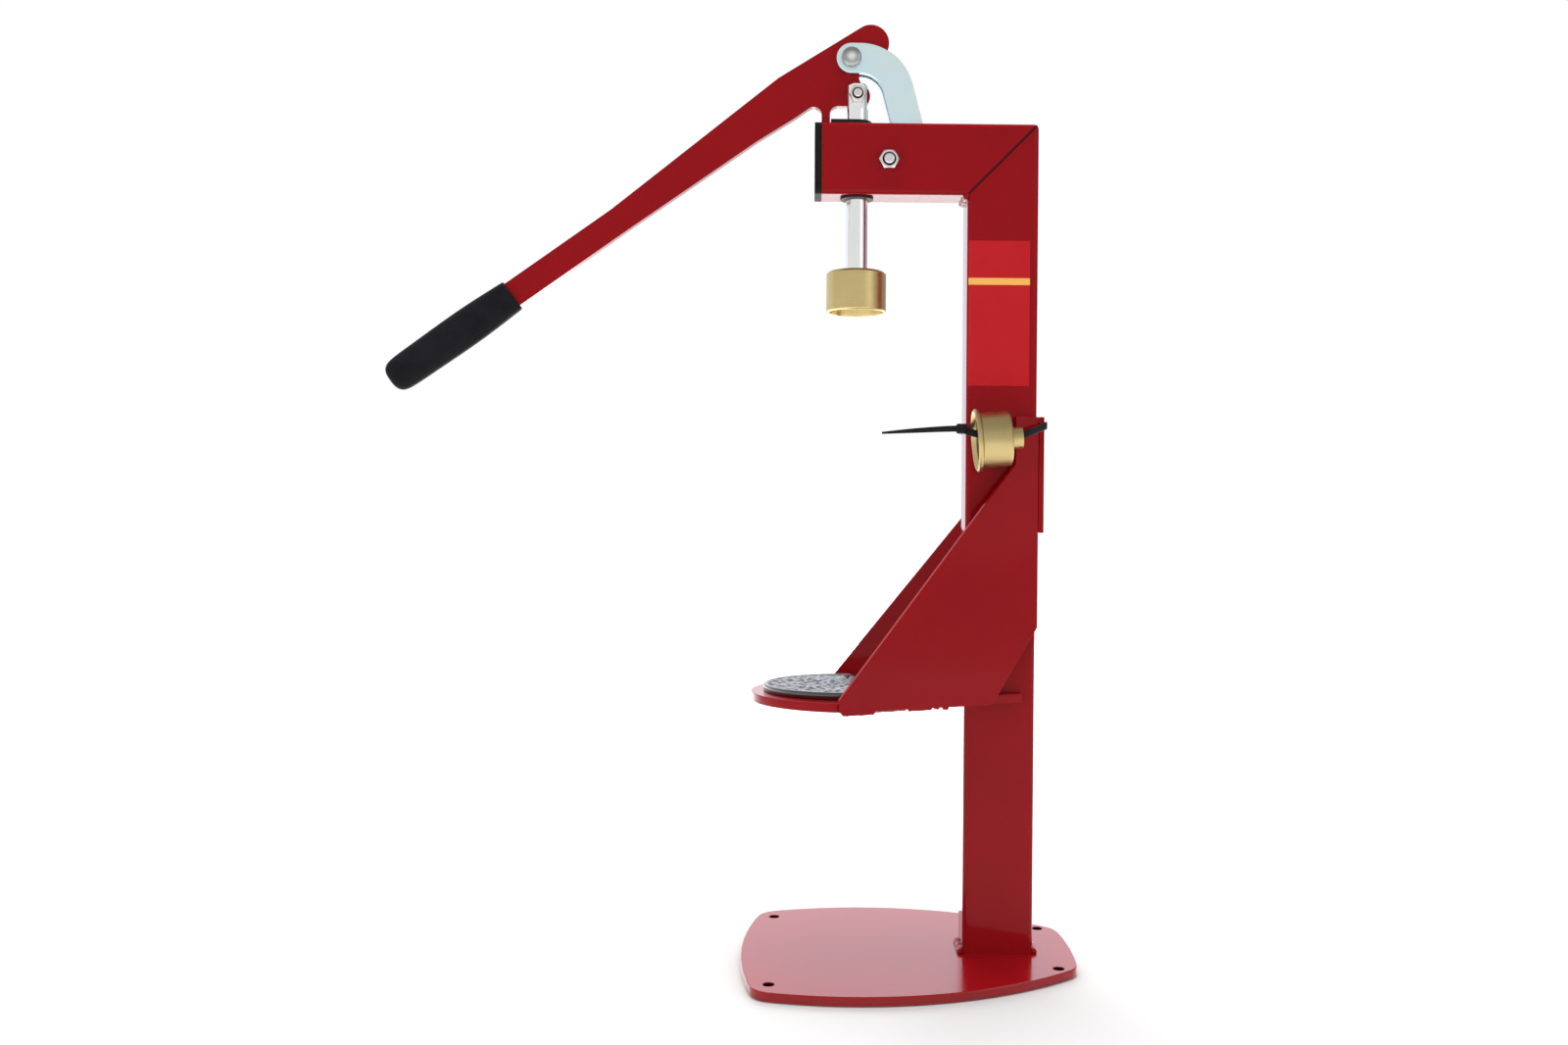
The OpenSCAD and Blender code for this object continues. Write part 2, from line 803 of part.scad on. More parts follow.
module shelf_outline() {
    side_gap = weld_gap / cos(wing_splay);
    back = 2 * tube_w;
    difference() {
        union() {
            translate([-plunger_x, 0])
                circle(shelf_nose_r);
            translate([-plunger_x, -wing_y(-plunger_x)])
                square([plunger_x + shelf_arm, 2 * wing_y(-plunger_x)]);
        }
        for (side = [0, 1])
            mirror([0, side])
                polygon([
                    [-wing_front, wing_y(-wing_front) - side_gap],
                    [back, wing_y(back) - side_gap],
                    [back, 2 * shelf_nose_r],
                    [-wing_front, 2 * shelf_nose_r]
                ]);
        translate([-wing_back, -wing_in])
            square([wing_back + back, 2 * wing_in]);
    }
}

module shelf_plate() {
    color(red)
        translate([0, 0, shelf_z])
            linear_extrude(shelf_t)
                shelf_outline();
}

// A wing seen square on, from the bracket's back to the front
module wing_profile() {
    back = -2 * sheet_t;
    polygon([
        [back, wing_h],
        [wing_tab, wing_h],
        [wing_tab, wing_tab_z],
        [wing_l, wing_nose],
        [wing_l, 0],
        [wing_foot, 0],
        [0, wing_cut],
        [back, wing_cut]
    ]);
}

module shelf_wing_near() {
    color(red)
        difference() {
            translate([wing_back, -wing_in, shelf_z])
                rotate([0, 0, 180 + wing_splay])
                    upright(sheet_t, sheet_t)
                        wing_profile();
            translate([wing_back - weld_gap, -2 * tube_d, shelf_z])
                cube([tube_w, 4 * tube_d, wing_h + over]);
        }
}

module shelf_wing_far() {
    mirror([0, 1, 0])
        shelf_wing_near();
}

module shelf_back_strap() {
    half_w = wing_in + sheet_t / cos(wing_splay);
    color(red)
        translate([wing_back, -half_w, shelf_z + wing_h - strap_h])
            cube([sheet_t, 2 * half_w, strap_h]);
}

module shelf_pad() {
    r = pad_d / 2;
    color(black)
        translate([-plunger_x - pad_dx, 0, shelf_z + shelf_t]) {
            cylinder(r = r, h = pad_t - pad_edge);
            translate([0, 0, pad_t - pad_edge])
                cylinder(r1 = r, r2 = r - pad_edge, h = pad_edge);
        }
}

// Spare bell on its tie

module spare_bell() {
    lip_r = spare_lip_d / 2;
    r = spare_d / 2;
    color(brass)
        translate([-spare_x, -spare_y, shelf_z + spare_z])
            rotate([0, 90 - spare_tilt, 0])
                rotate_extrude()
                    polygon([
                        [lip_r - spare_edge, 0],
                        [lip_r, spare_edge],
                        [lip_r, spare_lip_l],
                        [r, spare_lip_l + spare_edge],
                        [r, spare_l - spare_edge],
                        [r - spare_edge, spare_l],
                        [stem_d / 2, spare_l],
                        [stem_d / 2, spare_l + stem_l],
                        [stem_bore / 2, spare_l + stem_l],
                        [stem_bore / 2, spare_l - spare_wall],
                        [spare_hollow_d / 2, spare_l - spare_wall],
                        [spare_hollow_d / 2, spare_lip_l]
                    ]);
}

// What the tie goes round, seen from above: the bracket, the column and the bell's axis
module tie_core() {
    tab_x = wing_back - wing_tab * cos(wing_splay);
    tab_out = sheet_t / cos(wing_splay);
    run_y = spare_y - tie_t / 2 - tie_gap;
    polygon([
        [-tube_w / 2, tube_d / 2],
        [tab_x, wing_y(tab_x) + tab_out],
        [wing_back + sheet_t, wing_in + tab_out],
        [wing_back + sheet_t, -wing_in - tab_out],
        [over - stem_end, -run_y],
        [-tube_w / 2, -run_y]
    ]);
}

module cable_tie() {
    head_x = -tube_w / 2 - tie_gap - tie_t - tie_head / 2;
    head_y = tie_t / 2 - spare_y;
    color(black) {
        translate([0, 0, tie_mid_z - tie_w / 2])
            linear_extrude(tie_w)
                difference() {
                    offset(r = tie_gap + tie_t, $fn = facet_fn)
                        tie_core();
                    offset(r = tie_gap, $fn = facet_fn)
                        tie_core();
                }
        translate([head_x - tie_head / 2, head_y - tie_t, tie_mid_z - tie_w / 2])
            cube([tie_head + over, tie_head, tie_head]);
        translate([head_x - tie_head / 2, head_y + tie_t, tie_mid_z + tie_w / 2])
            upright(0, tie_t)
                polygon([[over, 0], [over, -tie_w], [-tie_tail, -tie_w], [-tie_tail, tie_tip_w - tie_w]]);
    }
}

base_plate();
column_tube();
arm_tube();
arm_end_cap();
upper_guide_bush();
lower_guide_bush();
fulcrum_bolt();
fulcrum_nut();
fulcrum_spacers();
height_label();
plunger_rod();
capping_bell();
fork_bolt();
fork_nut();
lever_plate();
lever_grip();
link_near();
link_far();
link_bolt();
link_nut();
shelf_plate();
shelf_wing_near();
shelf_wing_far();
shelf_back_strap();
shelf_pad();
spare_bell();
cable_tie();
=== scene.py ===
import json
import math

import bmesh
import bpy
from mathutils import Matrix, Vector


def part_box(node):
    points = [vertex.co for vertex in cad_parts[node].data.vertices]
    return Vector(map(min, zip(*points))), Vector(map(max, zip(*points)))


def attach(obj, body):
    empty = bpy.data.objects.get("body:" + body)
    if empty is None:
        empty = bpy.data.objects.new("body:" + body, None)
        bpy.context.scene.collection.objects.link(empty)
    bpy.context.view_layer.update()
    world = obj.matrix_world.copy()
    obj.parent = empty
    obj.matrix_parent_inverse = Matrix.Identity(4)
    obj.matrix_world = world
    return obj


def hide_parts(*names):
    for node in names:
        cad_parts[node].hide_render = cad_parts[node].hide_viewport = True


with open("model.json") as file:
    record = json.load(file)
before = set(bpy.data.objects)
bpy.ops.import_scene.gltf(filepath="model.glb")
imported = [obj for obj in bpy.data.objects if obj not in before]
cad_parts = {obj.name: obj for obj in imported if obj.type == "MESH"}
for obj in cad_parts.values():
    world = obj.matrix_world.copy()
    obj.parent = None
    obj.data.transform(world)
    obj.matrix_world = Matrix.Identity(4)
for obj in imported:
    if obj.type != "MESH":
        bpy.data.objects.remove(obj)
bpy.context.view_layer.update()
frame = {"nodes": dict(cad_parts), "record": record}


# Stage. A white sweep in a plain studio: the floor goes to white for the camera and in mirrors, and
# still takes the capper's soft shadow. Softboxes hang above, behind and at both sides. Bright metal
# mirrors a white room with a cooler back wall, a dark flag behind on the right and a bright strip.

def new_material(name):
    material = bpy.data.materials.new(name)
    material.use_nodes = True
    nodes, links = material.node_tree.nodes, material.node_tree.links
    nodes.clear()
    output = nodes.new("ShaderNodeOutputMaterial")
    return material, nodes, links, output


def feed(links, socket, value):
    if isinstance(value, (float, tuple)):
        socket.default_value = value
    else:
        links.new(value, socket)


def add_math(nodes, links, operation, *values):
    node = nodes.new("ShaderNodeMath")
    node.operation = operation
    for socket, value in zip(node.inputs, values):
        feed(links, socket, value)
    return node.outputs[0]


def add_range(nodes, links, value, given, wanted):
    ramp = nodes.new("ShaderNodeMapRange")
    ramp.inputs["From Min"].default_value, ramp.inputs["From Max"].default_value = given
    ramp.inputs["To Min"].default_value, ramp.inputs["To Max"].default_value = wanted
    links.new(value, ramp.inputs["Value"])
    return ramp.outputs[0]


def add_mix(nodes, links, factor, first, second):
    factor_in, first_color_in, second_color_in, color_out = 0, 6, 7, 2
    mix = nodes.new("ShaderNodeMix")
    mix.data_type = "RGBA"
    feed(links, mix.inputs[factor_in], factor)
    feed(links, mix.inputs[first_color_in], first)
    feed(links, mix.inputs[second_color_in], second)
    return mix.outputs[color_out]


def add_split(nodes, links, vector):
    split = nodes.new("ShaderNodeSeparateXYZ")
    links.new(vector, split.inputs[0])
    return split.outputs


def add_length(nodes, links, sides):
    squares = [add_math(nodes, links, "MULTIPLY", side, side) for side in sides]
    return add_math(nodes, links, "SQRT", add_math(nodes, links, "ADD", *squares))


def add_white_sweep():
    width, middle = 12.0, (-0.1, 2.0, -0.0004)
    floor_paint = (0.65, 0.65, 0.65, 1.0)
    bpy.ops.object.select_all(action="DESELECT")
    bpy.ops.mesh.primitive_plane_add(size=width, location=middle)
    floor = bpy.context.object
    floor.name = "white_floor"
    material, nodes, links, output = new_material("white_floor")
    paint = nodes.new("ShaderNodeBsdfDiffuse")
    paint.inputs["Color"].default_value = floor_paint
    glow = nodes.new("ShaderNodeEmission")
    path = nodes.new("ShaderNodeLightPath").outputs
    place = add_split(nodes, links, nodes.new("ShaderNodeNewGeometry").outputs["Position"])
    rear = add_range(nodes, links, place["Y"], (-0.1, 0.4), (0.6, 1.0))
    mirrored = add_math(nodes, links, "MULTIPLY", path["Is Glossy Ray"], rear)
    away = add_length(nodes, links, (place["X"], place["Y"]))
    far = add_range(nodes, links, away, (0.15, 1.5), (0.0, 0.85))
    shown = add_math(nodes, links, "MULTIPLY", path["Is Camera Ray"], far)
    links.new(add_math(nodes, links, "MAXIMUM", shown, mirrored), glow.inputs["Strength"])
    both = nodes.new("ShaderNodeAddShader")
    links.new(paint.outputs[0], both.inputs[0])
    links.new(glow.outputs[0], both.inputs[1])
    links.new(both.outputs[0], output.inputs["Surface"])
    floor.data.materials.append(material)


def add_room():
    white, cool_white = (1.0, 1.0, 1.0, 1.0), (0.985, 1.0, 1.09, 1.0)
    room = bpy.data.worlds.new("studio")
    bpy.context.scene.world = room
    room.use_nodes = True
    nodes, links = room.node_tree.nodes, room.node_tree.links
    nodes.clear()
    output = nodes.new("ShaderNodeOutputWorld")
    walls = nodes.new("ShaderNodeBackground")
    toward = add_split(nodes, links, nodes.new("ShaderNodeTexCoord").outputs["Generated"])
    behind = add_range(nodes, links, toward["Y"], (-0.3, 0.0), (0.0, 0.6))
    right = add_range(nodes, links, toward["X"], (0.25, 0.5), (0.0, 1.0))
    flag = add_math(nodes, links, "SUBTRACT", 1.0, add_math(nodes, links, "MULTIPLY", behind, right))
    plain = add_range(nodes, links, toward["Y"], (-0.2, 0.3), (0.82, 1.0))
    strip_start = add_range(nodes, links, toward["X"], (0.55, 0.68), (0.0, 0.4))
    strip_end = add_range(nodes, links, toward["X"], (0.84, 0.93), (0.4, -0.25))
    strip = add_math(nodes, links, "MINIMUM", strip_start, strip_end)
    front = add_range(nodes, links, toward["Y"], (-0.2, 0.0), (1.0, 0.0))
    bright = add_math(nodes, links, "ADD", plain, add_math(nodes, links, "MULTIPLY", strip, front))
    ceiling = add_range(nodes, links, toward["Z"], (0.4, 0.7), (1.0, 0.65))
    mirrored = add_math(nodes, links, "MULTIPLY", bright, add_math(nodes, links, "MULTIPLY", flag, ceiling))
    path = nodes.new("ShaderNodeLightPath").outputs
    rear = add_range(nodes, links, toward["Y"], (0.0, 0.4), (0.0, 1.0))
    cool = add_math(nodes, links, "MULTIPLY", path["Is Glossy Ray"], rear)
    links.new(add_mix(nodes, links, cool, white, cool_white), walls.inputs["Color"])
    lit = add_range(nodes, links, path["Is Glossy Ray"], (0.0, 1.0), (0.35, 0.0))
    shown = add_math(nodes, links, "MULTIPLY", mirrored, path["Is Glossy Ray"])
    level = add_math(nodes, links, "ADD", lit, shown)
    links.new(add_math(nodes, links, "MAXIMUM", level, path["Is Camera Ray"]), walls.inputs["Strength"])
    links.new(walls.outputs[0], output.inputs["Surface"])


def add_softbox(name, place, aim, size, watts):
    lamp = bpy.data.lights.new(name, "AREA")
    lamp.size = size
    lamp.energy = watts
    holder = bpy.data.objects.new(name, lamp)
    bpy.context.collection.objects.link(holder)
    holder.visible_glossy = False
    holder.location = place
    holder.rotation_euler = (Vector(aim) - Vector(place)).to_track_quat("-Z", "Y").to_euler()


def add_camera():
    eye = (-0.10863, -0.78969, 0.25787)
    pan, tilt, roll = -0.0198, -0.0219, 0.0054
    lens = bpy.data.cameras.new("camera")
    lens.sensor_fit = "HORIZONTAL"
    lens.sensor_width = 36.0
    lens.lens = 31.728
    lens.shift_x = -0.03287
    lens.shift_y = 0.01007
    lens.clip_end = 20.0
    camera = bpy.data.objects.new("camera", lens)
    bpy.context.collection.objects.link(camera)
    stand = Matrix.Translation(eye)
    for angle, axis in ((pan, "Z"), (math.pi / 2 + tilt, "X"), (roll, "Z")):
        stand = stand @ Matrix.Rotation(angle, 4, axis)
    camera.matrix_world = stand
    bpy.context.scene.camera = camera


add_white_sweep()
add_room()
add_softbox("overhead_softbox", place=(-0.1, 0.15, 1.6), aim=(-0.08, 0.05, 0.0), size=1.6, watts=31.0)
add_softbox("back_softbox", place=(-0.1, 1.5, 0.7), aim=(-0.05, 0.0, 0.0), size=1.6, watts=40.0)
add_softbox("left_softbox", place=(-1.25, -0.9, 0.5), aim=(-0.05, 0.0, 0.25), size=0.9, watts=6.0)
add_softbox("right_softbox", place=(1.1, -0.9, 0.5), aim=(-0.05, 0.0, 0.25), size=0.9, watts=5.0)
add_camera()
bpy.context.scene.view_settings.view_transform = "Standard"


# Base plate. Steel plate cut with bulged edges and bored at its corners for screws, under the
# same glossy dark red powder coat as the rest of the welded frame. Its top reflects the room and
# its rim stays dark; the walls of its holes are painted dark, as painted shade in the deep bores.

def new_finish_group(name, inputs):
    group = bpy.data.node_groups.new(name, "ShaderNodeTree")
    for label, kind, value in inputs:
        socket = group.interface.new_socket(name=label, in_out="INPUT", socket_type=kind)
        socket.default_value = value
    for label, kind in (("Color", "Color"), ("Roughness", "Float"), ("Height", "Float")):
        group.interface.new_socket(name=label, in_out="OUTPUT", socket_type="NodeSocket" + kind)
    nodes = group.nodes
    given, result = nodes.new("NodeGroupInput"), nodes.new("NodeGroupOutput")
    return group, nodes, group.links, given.outputs, result.inputs


def add_finish(nodes, group, **values):
    finish = nodes.new("ShaderNodeGroup")
    finish.node_tree = group
    for label, value in values.items():
        finish.inputs[label].default_value = value
    return finish


def add_noise(nodes, links, vector, scale, detail=2.0, roughness=0.5):
    noise = nodes.new("ShaderNodeTexNoise")
    feed(links, noise.inputs["Scale"], scale)
    noise.inputs["Detail"].default_value = detail
    noise.inputs["Roughness"].default_value = roughness
    links.new(vector, noise.inputs["Vector"])
    return noise.outputs["Fac"]


def add_bump(nodes, links, height, strength, distance):
    bump = nodes.new("ShaderNodeBump")
    bump.inputs["Strength"].default_value = strength
    bump.inputs["Distance"].default_value = distance
    links.new(height, bump.inputs["Height"])
    return bump.outputs["Normal"]


def add_spot(nodes, links, sides, middle, radius, fade):
    off = [add_math(nodes, links, "SUBTRACT", side, at) for side, at in zip(sides, middle)]
    away = add_length(nodes, links, off)
    return add_range(nodes, links, away, ((1.0 - fade) * radius, radius), (1.0, 0.0))


def make_powder_coat_group():
    group, nodes, links, given, result = new_finish_group("powder_coat", [
        ("Color", "NodeSocketColor", (0.285, 0.0026, 0.006, 1.0)),
        ("Gloss", "NodeSocketFloat", 0.17),
    ])
    fleck_color = (0.4, 0.04, 0.05, 1.0)
    where = nodes.new("ShaderNodeTexCoord").outputs["Object"]
    cloud = add_noise(nodes, links, where, scale=14.0, detail=3.0)
    peel = add_noise(nodes, links, where, scale=850.0, detail=2.0, roughness=0.55)
    speck = add_noise(nodes, links, where, scale=2600.0, detail=1.0)
    shade = nodes.new("ShaderNodeHueSaturation")
    links.new(given["Color"], shade.inputs["Color"])
    links.new(add_range(nodes, links, cloud, (0.3, 0.7), (0.92, 1.07)), shade.inputs["Value"])
    fleck = add_range(nodes, links, speck, (0.62, 0.78), (0.0, 0.08))
    links.new(add_mix(nodes, links, fleck, shade.outputs[0], fleck_color), result["Color"])
    spread = add_range(nodes, links, peel, (0.3, 0.7), (-0.05, 0.07))
    links.new(add_math(nodes, links, "ADD", given["Gloss"], spread), result["Roughness"])
    links.new(peel, result["Height"])
    return group


powder_coat = make_powder_coat_group()


def new_surface(name):
    material, nodes, links, output = new_material(name)
    shader = nodes.new("ShaderNodeBsdfPrincipled")
    links.new(shader.outputs[0], output.inputs["Surface"])
    return material, nodes, links, shader


def finish_surface(nodes, links, shader, color, rough, normal):
    links.new(color, shader.inputs["Base Color"])
    links.new(rough, shader.inputs["Roughness"])
    links.new(normal, shader.inputs["Normal"])


def make_red_paint(name, seam=None, holes=(), level=False, flow=0.08, least=0.2, coat_ior=1.5, shine=0.02):
    hole_shade_color, seam_color = (0.02, 0.001, 0.002, 1.0), (0.03, 0.001, 0.002, 1.0)
    hole_shade_fade, seam_line = 0.03, (0.0005, 0.0013)
    material, nodes, links, shader = new_surface(name)
    shader.inputs["Specular IOR Level"].default_value = shine
    shader.inputs["Coat IOR"].default_value = coat_ior
    shader.inputs["Coat Roughness"].default_value = flow
    if level:
        facing = add_split(nodes, links, nodes.new("ShaderNodeNewGeometry").outputs["Normal"])
        gloss = add_range(nodes, links, facing["Z"], (0.3, 0.8), (least, 1.0))
    else:
        slant = nodes.new("ShaderNodeLayerWeight").outputs["Facing"]
        gloss = add_range(nodes, links, slant, (0.55, 0.8), (least, 1.0))
    links.new(gloss, shader.inputs["Coat Weight"])
    coat = add_finish(nodes, powder_coat).outputs
    color = coat["Color"]
    place = add_split(nodes, links, nodes.new("ShaderNodeTexCoord").outputs["Object"])
    # Painted shade: the paint is darkened inside each screw hole, where the deep bore lies in shade.
    for x, y, radius in holes:
        inside = add_spot(nodes, links, (place["X"], place["Y"]), (x, y), radius, hole_shade_fade)
        color = add_mix(nodes, links, inside, color, hole_shade_color)
    if seam is not None:
        rise = add_math(nodes, links, "SUBTRACT", place["Z"], place["X"])
        away = add_math(nodes, links, "ABSOLUTE", add_math(nodes, links, "SUBTRACT", rise, seam))
        line = add_range(nodes, links, away, seam_line, (0.95, 0.0))
        color = add_mix(nodes, links, line, color, seam_color)
    peel = add_bump(nodes, links, coat["Height"], strength=0.12, distance=0.0004)
    finish_surface(nodes, links, shader, color, coat["Roughness"], peel)
    return material


def dress(node, material, edge=0.0, whole_faces=False, smooth=False):
    holder = frame["nodes"][node]
    holder.data.materials.clear()
    holder.data.materials.append(material)
    if edge or smooth:
        weld = holder.modifiers.new("joined_faces", "WELD")
        weld.merge_threshold = 0.00001
    if whole_faces:
        flat = holder.modifiers.new("whole_faces", "DECIMATE")
        flat.decimate_type = "DISSOLVE"
        flat.angle_limit = math.radians(0.2)
    if edge:
        bevel = holder.modifiers.new("soft_edges", "BEVEL")
        bevel.width = edge
        bevel.segments = 2
        bevel.limit_method = "ANGLE"
        bevel.angle_limit = math.radians(40.0)
        bevel.use_clamp_overlap = False
    if smooth:
        split = holder.modifiers.new("crisp_edges", "EDGE_SPLIT")
        split.split_angle = math.radians(30.0)
    if edge or smooth:
        even = holder.modifiers.new("even_light", "WEIGHTED_NORMAL")
        even.keep_sharp = True


millimetre = 0.001


# Where the base plate's screw holes are, for the painted shade on their walls, reaching a little past each
# hole's edge.
def find_screw_holes():
    shade_reach = 1.05
    holes = []
    for mount in frame["record"]["mounts"]:
        if mount["kind"] == "bolt_pattern":
            x, y = mount["pos_m"][0], millimetre * mount["dims"]["spacing_y_mm"] / 2
            radius = shade_reach * millimetre * mount["dims"]["hole_r_mm"]
            holes += [(x, side * y, radius) for side in (-1.0, 1.0)]
    return holes


red_paint = make_red_paint("red_powder_coat")
flowed_paint = make_red_paint("red_powder_coat_flowed", holes=find_screw_holes(), level=True,
                              flow=0.16, coat_ior=1.62, shine=0.1)
dress("base_plate", flowed_paint, edge=0.0006, whole_faces=True)


# Column and arm. Rectangular steel tube, mitred and welded at the top rear corner: the seam
# is ground flush before coating and shows as a thin dark line across both tubes.

seam_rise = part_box("arm_tube")[1].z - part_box("column_tube")[1].x
red_seam_paint = make_red_paint("red_powder_coat_with_seam", seam=seam_rise)
for tube in ("column_tube", "arm_tube"):
    dress(tube, red_seam_paint)


# Weld beads of the frame. Runs of weld, left rippled under the coat: in front of and behind the
# foot of the column, and in the inner corner under the arm.

def add_weld_bead(start, end, radius):
    spacing, voxel, lump_size, lump_height = (part * radius for part in (0.7, 0.18, 2.6, 0.5))
    run = Vector(end) - Vector(start)
    puddles = max(2, round(run.length / spacing))
    bpy.ops.object.select_all(action="DESELECT")
    bpy.ops.mesh.primitive_uv_sphere_add(segments=20, ring_count=12, radius=radius, location=start)
    bead = bpy.context.object
    row = bead.modifiers.new("puddles", "ARRAY")
    row.use_relative_offset = False
    row.use_constant_offset = True
    row.constant_offset_displace = run / (puddles - 1)
    row.count = puddles
    bpy.ops.object.modifier_apply(modifier="puddles")
    melt = bead.modifiers.new("melt", "REMESH")
    melt.mode = "VOXEL"
    melt.voxel_size = voxel
    bpy.ops.object.modifier_apply(modifier="melt")
    lumps = bpy.data.textures.new("weld_lumps", "CLOUDS")
    lumps.noise_scale = lump_size
    rough = bead.modifiers.new("lumps", "DISPLACE")
    rough.texture = lumps
    rough.texture_coords = "GLOBAL"
    rough.strength = lump_height
    rough.mid_level = 0.55
    bpy.ops.object.modifier_apply(modifier="lumps")
    bpy.ops.object.shade_smooth()
    return bead


def select_only(*pieces):
    bpy.ops.object.select_all(action="DESELECT")
    for piece in pieces:
        piece.select_set(True)
    bpy.context.view_layer.objects.active = pieces[0]


def join_pieces(name, pieces):
    select_only(*pieces)
    bpy.ops.object.join()
    joined = bpy.context.object
    joined.name = name
    return joined


def settle(piece, material, slot, body, *nodes):
    select_only(piece)
    bpy.ops.object.transform_apply(location=True, rotation=True, scale=True)
    piece.data.materials.clear()
    piece.data.materials.append(material)
    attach(piece, body)
    if nodes:
        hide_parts(*nodes)


def add_frame_welds():
    column_low, column_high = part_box("column_tube")
    base_top, arm_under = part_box("base_plate")[1].z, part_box("arm_tube")[0].z
    foot_proud, foot_run, foot_radius = 0.0007, 0.0095, 0.0022
    corner_proud, corner_run, corner_radius = 0.0004, 0.0105, 0.0023
    runs = (
        (column_low.x - foot_proud, base_top + foot_proud, foot_run, foot_radius),
        (column_high.x + foot_proud, base_top + foot_proud, foot_run, foot_radius),
        (column_low.x - corner_proud, arm_under - corner_proud, corner_run, corner_radius),
    )
    beads = [add_weld_bead((x, -run, z), (x, run, z), radius) for x, z, run, radius in runs]
    return join_pieces("frame_welds", beads)


settle(add_frame_welds(), red_paint, "red_paint", "frame")


# Height label. A printed film on the column, brighter than the paint, with one yellow line across
# it. It sits a little to the left and is stuck down round the column's left corner.

def make_label_film():
    line_z, line_edge = 0.3855, (0.0018, 0.0020)
    dark_red, light_red = (0.49, 0.013, 0.018, 1.0), (0.55, 0.0165, 0.022, 1.0)
    yellow = (0.95, 0.50, 0.12, 1.0)
    material, nodes, links, shader = new_surface("label_film")
    shader.inputs["Specular IOR Level"].default_value = 0.12
    where = nodes.new("ShaderNodeTexCoord").outputs["Object"]
    place = add_split(nodes, links, where)
    away = add_math(nodes, links, "ABSOLUTE", add_math(nodes, links, "SUBTRACT", place["Z"], line_z))
    line = add_range(nodes, links, away, line_edge, (1.0, 0.0))
    tone = add_noise(nodes, links, where, scale=60.0, detail=3.0)
    grain = add_noise(nodes, links, where, scale=1800.0, detail=1.0)
    red = add_mix(nodes, links, tone, dark_red, light_red)
    rough = add_range(nodes, links, grain, (0.3, 0.7), (0.3, 0.42))
    relief = add_bump(nodes, links, grain, strength=0.05, distance=0.0002)
    finish_surface(nodes, links, shader, add_mix(nodes, links, line, red, yellow), rough, relief)
    return material


def pick_verts(piece, wanted):
    edit = bmesh.from_edit_mesh(piece.data)
    for vert in edit.verts:
        vert.select = wanted(vert.co)
    edit.select_flush_mode()
    bmesh.update_edit_mesh(piece.data)


def add_label(name, node):
    low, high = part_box(node)
    corner, thick, wrap, steps = 0.003, 0.0002, math.radians(45.0), 10
    shift_left, taller = 0.0016, 0.0013
    left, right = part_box("column_tube")[0].x + corner, high.x - shift_left
    top, front = high.z + taller, low.y
    bpy.ops.object.select_all(action="DESELECT")
    bpy.ops.mesh.primitive_plane_add(size=1.0, rotation=(math.pi / 2, 0.0, 0.0),
                                     location=((left + right) / 2, front, (low.z + top) / 2))
    film = bpy.context.object
    film.name = name
    film.scale = (right - left, top - low.z, 1.0)
    bpy.ops.object.transform_apply(location=True, rotation=True, scale=True)
    bpy.ops.object.mode_set(mode="EDIT")
    bpy.ops.mesh.select_mode(type="VERT")
    pick_verts(film, lambda co: co.x < (left + right) / 2)
    corner_middle = (left, front + corner + thick, 0.0)
    bpy.ops.mesh.spin(steps=steps, angle=wrap, center=corner_middle, axis=(0.0, 0.0, 1.0))
    bpy.ops.mesh.select_all(action="SELECT")
    bpy.ops.mesh.normals_make_consistent(inside=False)
    bpy.ops.object.mode_set(mode="OBJECT")
    body = film.modifiers.new("thickness", "SOLIDIFY")
    body.thickness = thick
    bpy.ops.object.modifier_apply(modifier="thickness")
    bpy.ops.object.shade_smooth_by_angle(angle=math.radians(30.0))
    return film


settle(add_label("printed_label", "height_label"), make_label_film(), "label", "frame", "height_label")


# Arm end cap. A moulded black plug with a flat flange, pressed into the open front end of the
# arm so that the flange covers the cut edge of the tube.

def add_tint(nodes, links, color, times, plus=(0.0, 0.0, 0.0)):
    tint = nodes.new("ShaderNodeVectorMath")
    tint.operation = "MULTIPLY_ADD"
    for socket, value in zip(tint.inputs, (color, times, plus)):
        feed(links, socket, value)
    return tint.outputs[0]


def make_moulded_grain_group():
    group, nodes, links, given, result = new_finish_group("moulded_grain", [
        ("Color", "NodeSocketColor", (0.01, 0.01, 0.01, 1.0)),
        ("Roughness", "NodeSocketFloat", 0.5),
        ("Grain", "NodeSocketFloat", 1400.0),
    ])
    paler, bloom = (1.5, 1.5, 1.5), (0.003, 0.003, 0.003)
    where = nodes.new("ShaderNodeTexCoord").outputs["Object"]
    grain = add_noise(nodes, links, where, scale=given["Grain"], detail=2.0, roughness=0.6)
    cloud = add_noise(nodes, links, where, scale=70.0, detail=2.0)
    worn = add_range(nodes, links, cloud, (0.3, 0.75), (0.0, 1.0))
    lighter = add_tint(nodes, links, given["Color"], paler, bloom)
    links.new(add_mix(nodes, links, worn, given["Color"], lighter), result["Color"])
    spread = add_range(nodes, links, grain, (0.3, 0.7), (-0.06, 0.08))
    links.new(add_math(nodes, links, "ADD", given["Roughness"], spread), result["Roughness"])
    links.new(grain, result["Height"])
    return group


moulded_grain = make_moulded_grain_group()


def make_moulded(name, color, rough, grain, depth, shine=0.12, film=0.0):
    material, nodes, links, shader = new_surface(name)
    shader.inputs["Specular IOR Level"].default_value = shine
    shader.inputs["Coat Weight"].default_value = film
    finish = add_finish(nodes, moulded_grain, Color=color, Roughness=rough, Grain=grain).outputs
    relief = add_bump(nodes, links, finish["Height"], strength=0.25, distance=depth)
    finish_surface(nodes, links, shader, finish["Color"], finish["Roughness"], relief)
    return material


cap_plastic = make_moulded("cap_plastic", (0.007, 0.005, 0.005, 1.0), rough=0.5, grain=1400.0, depth=0.0002)
dress("arm_end_cap", cap_plastic, smooth=True)


# Guide bushes. Dark satin sleeves pressed into the arm from above and below, each with a flange
# on the tube, which guide the plunger rod. The upper flange reaches forward to the lever's heel.

